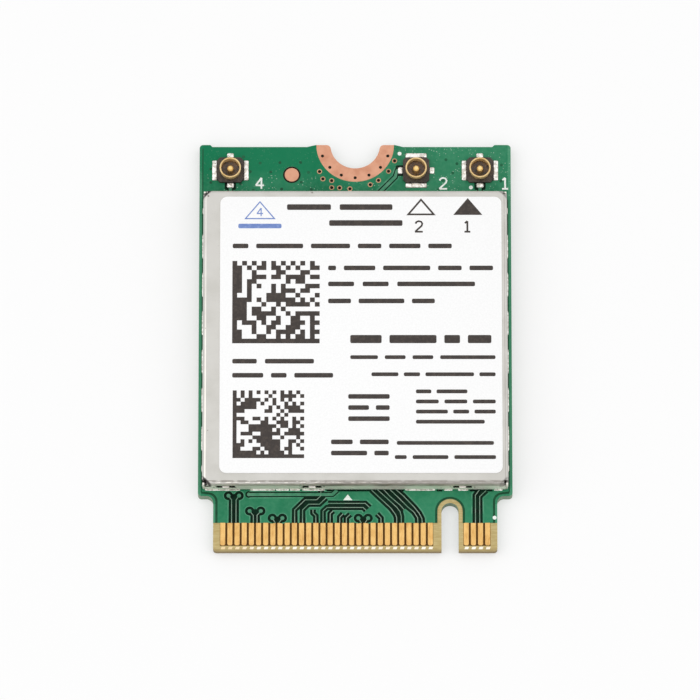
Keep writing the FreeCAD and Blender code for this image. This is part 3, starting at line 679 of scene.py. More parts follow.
@dataclass(frozen=True)
class FrameFinish:
    """Frame sheet painted as shaded tin, with darker painted shade at its corners and a painted highlight on
    its snap dimples.
    """

    shaded: Colour = screen(86, 80, 72)
    varied: Colour = screen(116, 108, 98)
    corner_shade: Colour = screen(34, 28, 24)
    # Painted highlight colour for the snap dimples.
    streaks_and_painted_light: Colour = screen(248, 244, 236)
    side: float = 10.53
    front: float = -10.38
    back: float = 10.97
    proud: float = 0.01
    crown: float = 0.27
    corner: float = 0.4

    def make(self) -> Material:
        """Build the material.

        Returns:
            The finished material.
        """
        tree, material = Shader.of_material("tinned_frame_sheet")
        x, y, _ = tree.axes()
        patches = tree.clouds(0.5, 0.35, 0.65)
        on_long = (y < self.front - self.proud) | (y > self.back + self.proud)
        dimple_highlight = near_snaps(x, y, (on_long, abs(x) > self.side + self.proud), self.crown)
        at_end = (y < self.front + self.corner) | (y > self.back - self.corner)
        corner = (abs(x) > self.side - self.corner) & at_end
        # Painted shade: a shaded tin tone, darkest at the corners.
        colour = tree.mix(tree.mix(self.shaded, self.varied, patches), self.corner_shade, corner)
        # Painted highlight on the snap dimples.
        colour = tree.mix(colour, self.streaks_and_painted_light, dimple_highlight)
        tree.surface(colour, 0.5 - dimple_highlight * 0.1, metallic=0.8 - dimple_highlight * 0.3 - corner * 0.5)
        return material


@dataclass(frozen=True)
class SolderFinish:
    """Bright solder with a dull skin in patches."""

    bright: Colour = screen(246, 243, 238)
    dull: Colour = screen(208, 202, 192)

    def make(self) -> Material:
        """Build the material.

        Returns:
            The finished material.
        """
        tree, material = Shader.of_material("reflowed_solder")
        skin = tree.clouds(0.22, 0.42, 0.62)
        tree.surface(tree.mix(self.bright, self.dull, skin), 0.28 + skin * 0.2, metallic=0.8,
                     height=skin, depth=0.02)
        return material


@dataclass(frozen=True)
class PaperFinish:
    """White coated label stock."""

    white: Colour = screen(253, 253, 253)
    shade: Colour = screen(249, 249, 249)

    def make(self) -> Material:
        """Build the material.

        Returns:
            The finished material.
        """
        tree, material = Shader.of_material("white_label_stock")
        fibre = tree.clouds(0.12, 0.35, 0.65, detail=4.0)
        tree.surface(tree.mix(self.white, self.shade, fibre), 0.5 + fibre * 0.1, height=fibre, depth=0.001,
                     Specular_IOR_Level=0.2)
        return material


@dataclass(frozen=True)
class InkFinish:
    """Printed ink, slightly uneven."""

    name: str
    full: Colour
    thin: Colour

    def make(self) -> Material:
        """Build the material.

        Returns:
            The finished material.
        """
        tree, material = Shader.of_material(self.name)
        uneven = tree.clouds(0.2, 0.4, 0.75, detail=4.0)
        tree.surface(tree.mix(self.full, self.thin, uneven), 0.45 + uneven * 0.1)
        return material


@dataclass(frozen=True)
class MouldedFinish:
    """Moulded resin, ferrite or ceramic with a fine grain."""

    name: str
    colour: Colour
    light: Colour
    roughness: float
    grain: float = 0.08

    def make(self) -> Material:
        """Build the material.

        Returns:
            The finished material.
        """
        tree, material = Shader.of_material(self.name)
        grain = tree.clouds(self.grain, 0.35, 0.7)
        patches = tree.clouds(0.7, 0.35, 0.7)
        tree.surface(tree.mix(self.colour, self.light, grain * 0.5 + patches * 0.5),
                     self.roughness + grain * 0.12, height=grain, depth=0.006)
        return material


class Finishes:
    """Every material of the card, each made once."""

    def __init__(self) -> None:
        """Make the materials."""
        even, upright = (1, 1, 1), (1, 1, 8)
        self.board = BoardFinish().make()
        self.line = MaskLineFinish("mask_over_line", screen(146, 168, 150), screen(108, 146, 122)).make()
        # Dark mask over the gaps, also used for painted shadow under the shield's foot.
        self.gap = MaskLineFinish("mask_over_gap_and_painted_shadow", screen(6, 26, 16), screen(10, 42, 27), shine=0.06).make()
        self.feed = MaskLineFinish("mask_over_feed_line", screen(88, 146, 116), screen(60, 132, 98)).make()
        self.rim = MaskLineFinish("mask_over_pour_rim", screen(84, 152, 118), screen(56, 136, 100)).make()
        self.edge = MaskLineFinish("mask_over_pour_edge", screen(2, 66, 38), screen(10, 80, 48)).make()
        # Painted shade: near-black discs inside open via holes.
        self.well_shade = MaskLineFinish("via_hole_painted_shade", screen(14, 12, 8), screen(30, 24, 14), shine=0.1).make()
        self.via = MaskLineFinish("mask_over_via", screen(10, 76, 48), screen(24, 98, 64)).make()
        self.contact = PlatingFinish("contact_gold", screen(234, 192, 122), screen(204, 158, 92), 0.38).make()
        self.tip = TipFinish().make()
        self.via_ring = PlatingFinish(
            "via_ring_copper", screen(208, 164, 128), screen(176, 140, 106), 0.5, even, metal=0.4).make()
        self.copper = PlatingFinish(
            "bare_copper", screen(218, 163, 134), screen(208, 150, 121), 0.58, even, metal=0.6,
            patchy=0.2).make()
        self.receptacle_gold = PlatingFinish(
            "receptacle_gold", screen(244, 214, 156), screen(216, 178, 114), 0.26, upright,
            metal=0.4).make()
        self.pin_gold = PlatingFinish(
            "pin_gold", screen(255, 226, 156), screen(236, 194, 116), 0.18, even, metal=0.6).make()
        # Painted highlight: near-white tin for the dimple crowns and frame corner posts.
        self.dimple_highlight = PlatingFinish(
            "dimple_painted_highlight", screen(244, 240, 232), screen(222, 216, 206), 0.34, metal=0.5).make()
        self.crystal = PlatingFinish("crystal_lid", screen(206, 202, 184), screen(186, 180, 160), 0.3).make()
        self.cover = CoverFinish().make()
        self.frame = FrameFinish().make()
        self.solder = SolderFinish().make()
        self.paper = PaperFinish().make()
        self.black_ink = InkFinish("black_ink", screen(42, 33, 28), screen(66, 56, 49)).make()
        self.blue_ink = InkFinish("blue_ink", screen(106, 132, 194), screen(134, 156, 208)).make()
        self.white_ink = InkFinish("white_ink", screen(244, 246, 242), screen(224, 232, 224)).make()
        self.resin = MouldedFinish("receptacle_resin", screen(18, 13, 10), screen(84, 70, 58), 0.42).make()
        # Painted reflection: golden-brown patches on the dark insulator stand in for glints of the gold shell
        # and pin.
        self.well_floor_painted_glints = MouldedFinish(
            "receptacle_well_painted_glints", screen(26, 18, 12), screen(112, 80, 42), 0.2, grain=0.15).make()
        self.chip = MouldedFinish("chip_resin", screen(30, 30, 32), screen(48, 48, 50), 0.55).make()
        self.ceramic = MouldedFinish("chip_ceramic", screen(166, 134, 104), screen(184, 156, 126), 0.5).make()
        self.ferrite = MouldedFinish("inductor_ferrite", screen(62, 62, 64), screen(84, 84, 86), 0.6).make()


# Modelling bench

def metres(*parts: float) -> tuple[float, ...]:
    """Turn millimetres into the scene's metres."""
    return tuple(part * MM for part in parts)


def deselect() -> None:
    """Leave edit mode and drop the selection."""
    if bpy.context.mode != "OBJECT":
        bpy.ops.object.mode_set(mode="OBJECT")
    bpy.ops.object.select_all(action="DESELECT")


def pick(piece: Object) -> None:
    """Make one object the only selected and active one.

    Args:
        piece: The object.
    """
    deselect()
    piece.select_set(True)
    bpy.context.view_layer.objects.active = piece


@contextmanager
def shaping(piece: Object, kind: Kind = Kind.FACE, test: Callable[..., bool] | None = None) -> Iterator[None]:
    """Open a piece in edit mode with all of it selected, or some of it.

    Args:
        piece: The object to shape.
        kind: Kind of element that is selected.
        test: Says of an element whether it is selected; without it, all are.

    Yields:
        Nothing; the piece is back in object mode afterwards.
    """
    pick(piece)
    mode, elements = kind.value
    bpy.ops.object.mode_set(mode="EDIT")
    bpy.ops.mesh.select_mode(type=mode)
    bpy.ops.mesh.select_all(action="DESELECT" if test else "SELECT")
    if test:
        bpy.ops.object.mode_set(mode="OBJECT")
        for element in getattr(piece.data, elements):
            element.select = test(element)
        bpy.ops.object.mode_set(mode="EDIT")
    yield
    bpy.ops.object.mode_set(mode="OBJECT")


def looks_up(face: MeshPolygon) -> bool:
    """Whether a face points up."""
    return face.normal.z > 0.9


def extrude(height: float) -> None:
    """Extrude the selected faces upwards."""
    bpy.ops.mesh.extrude_region_move(TRANSFORM_OT_translate={"value": metres(0, 0, height)})


def inset(width: float, rise: float = 0.0) -> None:
    """Inset the selected faces and lift what is inside.

    Args:
        width: Width of the new rim.
        rise: How far the inner faces go up.
    """
    bpy.ops.mesh.inset(thickness=width * MM)
    if rise:
        bpy.ops.transform.translate(value=metres(0, 0, rise))


def turn_outwards() -> None:
    """Point every face of the piece in edit mode outwards."""
    bpy.ops.mesh.select_all(action="SELECT")
    bpy.ops.mesh.normals_make_consistent(inside=False)


def settle() -> Object:
    """Put the active object's place and size into its mesh and return it."""
    bpy.ops.object.transform_apply(location=True, rotation=True, scale=True)
    return bpy.context.active_object


def sheet(width: float, length: float, middle: Point, level: float) -> Object:
    """Flat rectangle.

    Args:
        width: Size along X.
        length: Size along Y.
        middle: Its middle.
        level: Its height.

    Returns:
        The new object.
    """
    deselect()
    bpy.ops.mesh.primitive_plane_add(size=1, location=metres(*middle, level))
    bpy.context.active_object.scale = (width * MM, length * MM, 1)
    return settle()


def disc(radius: float, middle: Point, level: float, sides: int = 20) -> Object:
    """Flat round face.

    Args:
        radius: Its radius.
        middle: Its middle.
        level: Its height.
        sides: Number of corners.

    Returns:
        The new object.
    """
    deselect()
    bpy.ops.mesh.primitive_circle_add(
        vertices=sides, radius=radius * MM, fill_type="NGON", location=metres(*middle, level))
    return settle()


def block(size: Triple, middle: Triple) -> Object:
    """Upright block.

    Args:
        size: Its width, length and height.
        middle: Its middle.

    Returns:
        The new object.
    """
    deselect()
    bpy.ops.mesh.primitive_cube_add(size=1, location=metres(*middle))
    bpy.context.active_object.scale = metres(*size)
    return settle()


def pillow(size: Triple, middle: Triple, cuts: int, levels: int) -> Object:
    """Block rounded by subdivision.

    Args:
        size: Its width, length and height before it is rounded.
        middle: Its middle.
        cuts: Cuts across each edge, which keep it near the block.
        levels: Levels of subdivision.

    Returns:
        The new object.
    """
    piece = block(size, middle)
    with shaping(piece):
        bpy.ops.mesh.subdivide(number_cuts=cuts)
    bpy.ops.object.modifier_add(type="SUBSURF")
    smooth = piece.modifiers[-1]
    smooth.levels = smooth.render_levels = levels
    bpy.ops.object.modifier_apply(modifier=smooth.name)
    return piece


def raise_up(piece: Object, height: float) -> Object:
    """Give flat faces a thickness upwards and close the solid.

    Args:
        piece: The flat piece.
        height: Thickness, less than 0 for downwards.

    Returns:
        The same piece.
    """
    with shaping(piece):
        extrude(height)
        turn_outwards()
    return piece


def round_corners(piece: Object, radius: float, steps: int) -> Object:
    """Round the corners of flat faces.

    Args:
        piece: The flat piece.
        radius: Corner radius.
        steps: Straight steps per corner.

    Returns:
        The same piece.
    """
    with shaping(piece, Kind.CORNER):
        bpy.ops.mesh.bevel(offset=radius * MM, segments=steps, affect="VERTICES")
    return piece


def join(pieces: Sequence[Object]) -> Object:
    """Join several objects into the first.

    Args:
        pieces: At least one object.

    Returns:
        The joined object.
    """
    deselect()
    for piece in pieces:
        piece.select_set(True)
    bpy.context.view_layer.objects.active = pieces[0]
    if len(pieces) > 1:
        bpy.ops.object.join()
    return bpy.context.active_object


def copy_to(model: Object, moves: Iterable[Triple]) -> list[Object]:
    """Copy a finished model to other places.

    Args:
        model: The model, which stays where it is.
        moves: Shift of each copy.

    Returns:
        The model and its copies.
    """
    made = [model]
    for move in moves:
        pick(model)
        bpy.ops.object.duplicate(linked=False)
        bpy.ops.transform.translate(value=metres(*move))
        made.append(settle())
    return made


def route(points: Sequence[Point], width: float, height: float, level: float) -> Object:
    """Low rounded line along a route, sunk into its face by as much as it stands proud.

    Args:
        points: Corners of the route.
        width: Width of the line.
        height: Height of its crown above the level.
        level: Height of the face it lies on.

    Returns:
        The new object.
    """
    deselect()
    bpy.ops.curve.primitive_bezier_curve_add()
    curve = bpy.context.active_object.data
    curve.splines.clear()
    spline = curve.splines.new("POLY")
    spline.points.add(len(points) - 1)
    for corner, (across, along) in zip(spline.points, points):
        corner.co = (across * MM, along * MM, 0, 1)
    curve.bevel_depth = width * MM / 2
    curve.bevel_resolution = 2
    curve.use_fill_caps = True
    bpy.ops.object.convert(target="MESH")
    piece = bpy.context.active_object
    with shaping(piece):
        bpy.ops.transform.resize(value=(1, 1, 2 * height / width), center_override=(0, 0, 0))
        bpy.ops.transform.translate(value=metres(0, 0, level))
    return piece


def arc(middle: Point, radius: float, start: float, end: float, steps: int) -> list[Point]:
    """Points along a round bend.

    Args:
        middle: Middle of the bend.
        radius: Its radius.
        start: First angle in degrees.
        end: Last angle in degrees.
        steps: Number of straight steps.

    Returns:
        The points from start to end.
    """
    angles = [math.radians(start + (end - start) * step / steps) for step in range(steps + 1)]
    return [(middle[0] + radius * math.cos(angle), middle[1] + radius * math.sin(angle)) for angle in angles]


def triangle(middle: Point, size: Point, level: float) -> Object:
    """Flat triangle that points along +Y.

    Args:
        middle: Middle of its box.
        size: Width and length of its box.
        level: Its height.

    Returns:
        The new object.
    """
    piece = sheet(*size, middle, level)
    with shaping(piece, Kind.CORNER, lambda corner: corner.co.y > middle[1] * MM):
        bpy.ops.mesh.merge(type="CENTER")
    return piece


def number(digit: Digit, middle: Point, height: float, stroke: float, rise: float, level: float) -> Object:
    """Printed number drawn with round strokes.

    Args:
        digit: Which number.
        middle: Middle of its box.
        height: Height of the number.
        stroke: Width of its strokes.
        rise: Thickness of the ink.
        level: Height of the face it is printed on.

    Returns:
        The new object.
    """
    strokes = []
    for line in digit.value:
        points = [(middle[0] + across * height, middle[1] + along * height) for across, along in line]
        strokes.append(route(points, stroke, rise, level))
    return join(strokes)


def hand_over(piece: Object, name: str, material: Material, smooth: float = 40.0,
              stands_for: Sequence[str] = ()) -> None:
    """Name, dress and register a finished piece.

    Args:
        piece: The finished object.
        name: Its name in the model.
        material: Its only material.
        smooth: Angle in degrees under which edges are shaded smooth.
        stands_for: CAD nodes that the piece replaces.
    """
    pick(piece)
    bpy.ops.object.shade_smooth_by_angle(angle=math.radians(smooth))
    piece.name = name
    piece.data.name = name
    piece.data.materials.clear()
    piece.data.materials.append(material)
    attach(piece, BODY)
    if stands_for:
        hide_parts(*stands_for)
    LOG.info("%s: %d faces", name, len(piece.data.polygons))


def dress(nodes: dict[str, Object], names: Iterable[str], material: Material) -> None:
    """Give CAD nodes a material.

    Args:
        nodes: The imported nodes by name.
        names: Nodes to dress.
        material: Their material.
    """
    for name in names:
        materials = nodes[name].data.materials
        materials.clear()
        materials.append(material)
        LOG.info("%s dressed with %s", name, material.name)


# Sub-assemblies

@dataclass
class BoardFace:
    """Fine copper under the mask and white print on the board's top face, with painted shade in via holes and
    under the shield's foot.
    """

    level: float = BOARD_TOP
    contact_end: float = -12.97
    line_width: float = 0.065
    line_rise: float = 0.012
    gap_width: float = 0.5
    gap_rise: float = 0.004
    rim_width: float = 0.62
    rim_rise: float = 0.002
    broad_width: float = 0.26
    broad_gap: float = 0.48
    edge_width: float = 0.16
    foot_shadow_width: float = 0.14
    via_radius: float = 0.18
    via_hole: float = 0.118
    hole_shade_margin: float = 0.03
    end_via: float = 0.14
    end_via_moat: float = 0.33
    pair_bend: float = 0.32
    pair_bridge: float = 0.46
    bridge_shift: float = 0.06
    moat_corner: float = 0.12
    hump_radius: float = 0.11
    hump_foot: float = 0.01
    hump_steps: tuple[Point, ...] = ((0.04, 0.012), (0.03, -0.009))
    pour_side: float = 10.77
    pour_front: float = -10.75
    left_end: float = 14.72
    right_end: float = 10.9
    tongue_side: float = 9.7
    shoulder_middle: Point = (-10.3, -11.4)
    shoulder_radius: float = 0.6
    key_middle: Point = (6.625, -12.1)
    key_radius: float = 0.965
    print_rise: float = 0.012
    dot_radius: float = 0.14
    digit_height: float = 0.82
    digit_stroke: float = 0.125
    pointer: Point = (-0.52, -11.1)
    pointer_size: Point = (0.64, 0.42)
    # Painted shadow lines under the shield's front foot, between the solder runs.
    foot_shadow_lines: tuple[tuple[Point, ...], ...] = (
        ((-2.0, -10.6), (3.4, -10.6)), ((5.7, -10.6), (6.1, -10.6)), ((8.0, -10.6), (9.6, -10.6)))
    pairs: tuple[tuple[float, float, float, float, float], ...] = (
        (-8.86, -8.12, -10.98, -8.64, -8.33),
        (-7.38, -6.60, -12.10, -7.12, -6.86),
        (-5.79, -5.09, -12.62, -5.60, -5.31),
        (0.22, 0.90, -12.62, 0.41, 0.70),
    )
    lines: tuple[tuple[Point, ...], ...] = (
        ((-4.23, -12.97), (-4.23, -12.02), (-3.5, -11.28), (-2.7, -11.28), (-2.4, -10.98), (-2.4, -10.55)),
        ((-3.68, -12.97), (-3.68, -12.02), (-3.26, -11.60), (-2.50, -11.60), (-2.05, -11.15)),
        ((-2.75, -12.97), (-2.75, -12.45), (-2.95, -12.25), (-2.95, -12.0)),
        ((-2.25, -12.97), (-2.25, -12.1), (-1.97, -11.84), (0.55, -11.84), (0.76, -12.05)),
        ((-1.75, -12.97), (-1.75, -12.3), (-1.55, -12.1)),
        ((-1.08, -12.97), (-1.08, -12.55), (-0.85, -12.3)),
        ((-0.62, -12.97), (-0.62, -12.6), (-0.35, -12.35)),
        ((-1.9, -11.54), (0.7, -11.54), (1.0, -11.84)),
        ((1.80, -12.97), (1.80, -12.62), (1.52, -12.31)),
        ((1.13, -10.55), (1.56, -10.98), (2.50, -11.9), (2.82, -12.35), (2.90, -12.6), (2.90, -12.97)),
        ((1.54, -10.52), (2.90, -11.82), (3.14, -12.15), (3.22, -12.5), (3.22, -12.97)),
        ((1.98, -10.52), (2.43, -11.03), (3.12, -11.65), (3.43, -12.0)),
        ((2.42, -10.52), (3.09, -11.19), (3.65, -11.78), (4.10, -12.17), (4.36, -12.59), (4.38, -12.97)),
        ((2.84, -10.52), (3.33, -10.96), (4.12, -11.81), (4.47, -12.27), (4.66, -12.66), (4.68, -12.97)),
        ((8.40, -12.97), (8.40, -10.95), (8.68, -10.55)),
        ((8.70, -12.97), (8.70, -11.05), (9.15, -10.6)),
    )
    broad_lines: tuple[tuple[Point, ...], ...] = (
        ((-7.44, -10.89), (-1.60, -10.89), (-1.28, -10.58)),
        ((1.72, 11.45), (2.84, 12.62), (2.95, 13.08), (3.1, 13.08)),
        ((-8.82, 11.86), (-8.82, 11.4)),
        ((8.82, 11.86), (8.82, 11.4)),
    )
    pad_moats: tuple[tuple[Point, Point], ...] = (
        ((-8.82, 11.94), (0.8, 0.62)), ((8.82, 11.94), (0.8, 0.62)), ((3.17, 13.08), (0.62, 0.8)))
    open_vias: tuple[Point, ...] = (
        (-2.52, 13.01), (-2.28, 12.46), (-1.66, 12.33), (-1.66, 11.81), (-1.10, 11.79), (-0.37, 11.72),
        (2.79, 13.81), (2.36, 13.03), (1.65, 12.35), (1.07, 12.03),
    )
    covered_vias: tuple[Point, ...] = (
        (-7.90, 14.12), (-6.72, 13.65), (-5.32, 13.68), (-3.86, 13.70), (-5.98, 12.98), (-3.30, 12.95),
        (-3.80, 12.22), (-7.42, 13.0), (-8.1, 12.1), (-7.2, 11.62), (-3.1, 11.66), (-5.2, 11.7),
        (6.42, 13.9), (6.9, 12.9), (6.2, 12.35), (7.2, 13.6), (10.35, 13.5), (10.3, 12.3), (5.9, 11.7),
        (-10.2, 13.2), (-10.2, 12.2),
    )
    dots: tuple[Point, ...] = ((3.14, 14.35), (8.18, 11.82), (9.74, -12.59))
    digits: dict[Digit, Point] = field(default_factory=lambda: {
        Digit.FOUR: (-6.74, 12.13), Digit.TWO: (6.22, 12.13), Digit.ONE: (10.58, 12.13)})

    def build(self, finishes: Finishes) -> None:
        """Model and dress every piece on the face.

        Args:
            finishes: The card's materials.
        """
        hand_over(self._rims(), "pour_rims", finishes.rim)
        hand_over(self._gaps_and_foot_shadow(), "mask_gaps_and_foot_shadow", finishes.gap)
        hand_over(self._lines(), "copper_lines", finishes.line)
        hand_over(self._broad_lines(), "antenna_feed_lines", finishes.feed)
        hand_over(self._pour_edges(), "pour_edges", finishes.edge)
        rings, hole_shades = self._open_vias()
        hand_over(rings, "open_via_rings", finishes.via_ring)
        hand_over(hole_shades, "open_via_hole_shades", finishes.well_shade)
        hand_over(self._covered_vias(), "covered_vias", finishes.via)
        hand_over(self._print(), "board_print", finishes.white_ink)

    def _run(self, routes: Iterable[Sequence[Point]], width: float, rise: float) -> list[Object]:
        """Rounded lines of one width along several routes."""
        return [route(points, width, rise, self.level) for points in routes]

    def _buttons(self, places: Iterable[Point], radius: float, rise: float) -> list[Object]:
        """Low round buttons at several places."""
        return [raise_up(disc(radius, place, self.level), rise) for place in places]

    def _routes(self) -> list[tuple[Point, ...]]:
        """Every fine line, the via pairs included.

        Returns:
            The corners of each line.
        """
        found = list(self.lines)
        for left, right, along, left_line, right_line in self.pairs:
            for across, line in ((left, left_line), (right, right_line)):
                found.append(((across, along), (line, along - self.pair_bend), (line, self.contact_end)))
        return found

    def _pair_vias(self) -> list[Point]:
        """Middles of the vias at the upper ends of the line pairs."""
        return [(across, pair[2]) for pair in self.pairs for across in pair[:2]]

    def _rims(self) -> Object:
        """Paler rim of the pour along the gaps.

        Returns:
            The joined piece.
        """
        wider = self.rim_width - self.gap_width
        pieces = self._run(self._routes(), self.rim_width, self.rim_rise)
        pieces += self._run(self.broad_lines, self.broad_gap + wider, self.rim_rise)
        pieces += self._buttons(self._pair_vias(), self.end_via_moat + wider / 2, self.rim_rise)
        return join(pieces)

    def _gaps_and_foot_shadow(self) -> Object:
        """Bare gaps in the pour beside the lines, and painted shadow lines along the shield's front foot.

        Returns:
            The joined piece.
        """
        pieces = self._run(self._routes(), self.gap_width, self.gap_rise)
        pieces += self._run(self.broad_lines, self.broad_gap, self.gap_rise)
        # Painted shadow under the shield's front foot.
        pieces += self._run(self.foot_shadow_lines, self.foot_shadow_width, self.gap_rise)
        pieces += self._buttons(self._pair_vias(), self.end_via_moat, self.gap_rise)
        ends = [(left, right, along - self.bridge_shift) for left, right, along, *_ in self.pairs]
        bridges = [((left, along), (right, along)) for left, right, along in ends]
        pieces += self._run(bridges, self.pair_bridge, self.gap_rise)
        for place, size in self.pad_moats:
            moat = round_corners(sheet(*size, place, self.level), self.moat_corner, 4)
            pieces.append(raise_up(moat, self.gap_rise))
        pieces += self._buttons([self.broad_lines[0][0]], self.broad_gap / 2, self.gap_rise)
        return join(pieces)

    def _lines(self) -> Object:
        """Fine lines."""
        return join(self._run(self._routes(), self.line_width, self.line_rise))

    def _broad_lines(self) -> Object:
        """Broad feed lines and the pads at the ends of the line pairs.

        Returns:
            The joined piece.
        """
        pieces = self._run(self.broad_lines, self.broad_width, self.line_rise)
        pieces += self._buttons(self._pair_vias(), self.end_via, self.line_rise)
        pieces += self._buttons([self.broad_lines[0][0]], self.broad_width / 2, self.line_rise)
        return join(pieces)

    def _pour_edges(self) -> Object:
        """Edge of the copper pour, along the board's sides and round the key slot.

        Returns:
            The joined piece.
        """
        side, front, foot = self.pour_side, self.pour_front, self.contact_end
        shoulder = [(-self.tongue_side, foot), (-self.tongue_side, self.shoulder_middle[1])]
        shoulder += arc(self.shoulder_middle, self.shoulder_radius, 0, 90, 5) + [(-side, front)]
        mirrored = [(-across, along) for across, along in shoulder]
        middle, radius = self.key_middle, self.key_radius
        key = [(middle[0] - radius, foot)] + arc(middle, radius, 180, 0, 16) + [(middle[0] + radius, foot)]
        flanks = [[(-side, front), (-side, self.left_end)], [(side, front), (side, self.right_end)]]
        pieces = self._run([key, shoulder, mirrored], self.edge_width, self.gap_rise)
        return join(pieces + self._run(flanks, self.edge_width / 2, self.gap_rise))

    def _open_vias(self) -> tuple[Object, Object]:
        """Bare copper rings, and dark discs inside them painted as the shade of the holes.

        Returns:
            The rings and the wells.
        """
        rings = []
        for place in self.open_vias:
            ring = disc(self.via_radius, place, self.level)
            with shaping(ring):
                inset(self.via_radius - self.via_hole)
                bpy.ops.mesh.delete(type="FACE")
            rings.append(raise_up(ring, self.line_rise))
        hole_shades = self._buttons(self.open_vias, self.via_hole + self.hole_shade_margin, self.gap_rise)
        return join(rings), join(hole_shades)

    def _covered_vias(self) -> Object:
        """Low dimpled humps where the mask covers a via.

        Returns:
            The joined piece.
        """
        foot = disc(self.hump_radius, (0, 0), self.level - self.hump_foot, sides=14)
        model = raise_up(foot, self.hump_foot)
        with shaping(model, Kind.FACE, looks_up):
            for width, rise in self.hump_steps:
                inset(width, rise)
        made = copy_to(model, [(across, along, 0) for across, along in self.covered_vias])
        bpy.data.objects.remove(made[0])
        return join(made[1:])

    def _print(self) -> Object:
        """White dots, pointer and port numbers.

        Returns:
            The joined piece.
        """
        pieces = [disc(self.dot_radius, place, self.level) for place in self.dots]
        pieces.append(triangle(self.pointer, self.pointer_size, self.level))
        printed = raise_up(join(pieces), self.print_rise)
        numbers = [
            number(digit, place, self.digit_height, self.digit_stroke, self.print_rise, self.level)
            for digit, place in self.digits.items()
        ]
        return join([printed, *numbers])


@dataclass
class EdgeContacts:
    """Gold contacts and the ends that the bevel leaves on them, with a painted glint."""

    pitch: float = 0.5
    tip_width: float = 0.27
    tip_length: float = 0.17
    tip_slant: float = 0.06
    tip_depth: float = 0.03
    start: float = -14.7
    level: float = 0.758
    slope: float = 0.5
    rows: tuple[tuple[float, int], ...] = ((-18.5, 30), (15.5, 4))

    def build(self, nodes: dict[str, Object], finishes: Finishes) -> None:
        """Dress the contacts and model their bevelled ends."""
        dress(nodes, ("edge_contacts_top", "edge_contacts_bottom"), finishes.contact)
        hand_over(self._tips(), "contact_tips", finishes.tip)

    def _tips(self) -> Object:
        """Thin ends of the top contacts that follow the bevel.

        Returns:
            The joined piece.
        """
        first = self.rows[0][0] * self.pitch
        middle = self.start - self.tip_length / 2
        model = sheet(self.tip_width, self.tip_length, (first, middle), self.level)
        with shaping(model, Kind.CORNER, lambda corner: corner.co.y > middle * MM):
            bpy.ops.transform.translate(value=metres(self.tip_slant, 0, 0))
        with shaping(model):
            bpy.ops.transform.rotate(value=-math.atan(self.slope), orient_axis="X",
                                     center_override=metres(0, self.start, self.level))
        raise_up(model, -self.tip_depth)
        places = [(start + step) * self.pitch for start, count in self.rows for step in range(count)]
        return join(copy_to(model, [(place - first, 0, 0) for place in places[1:]]))


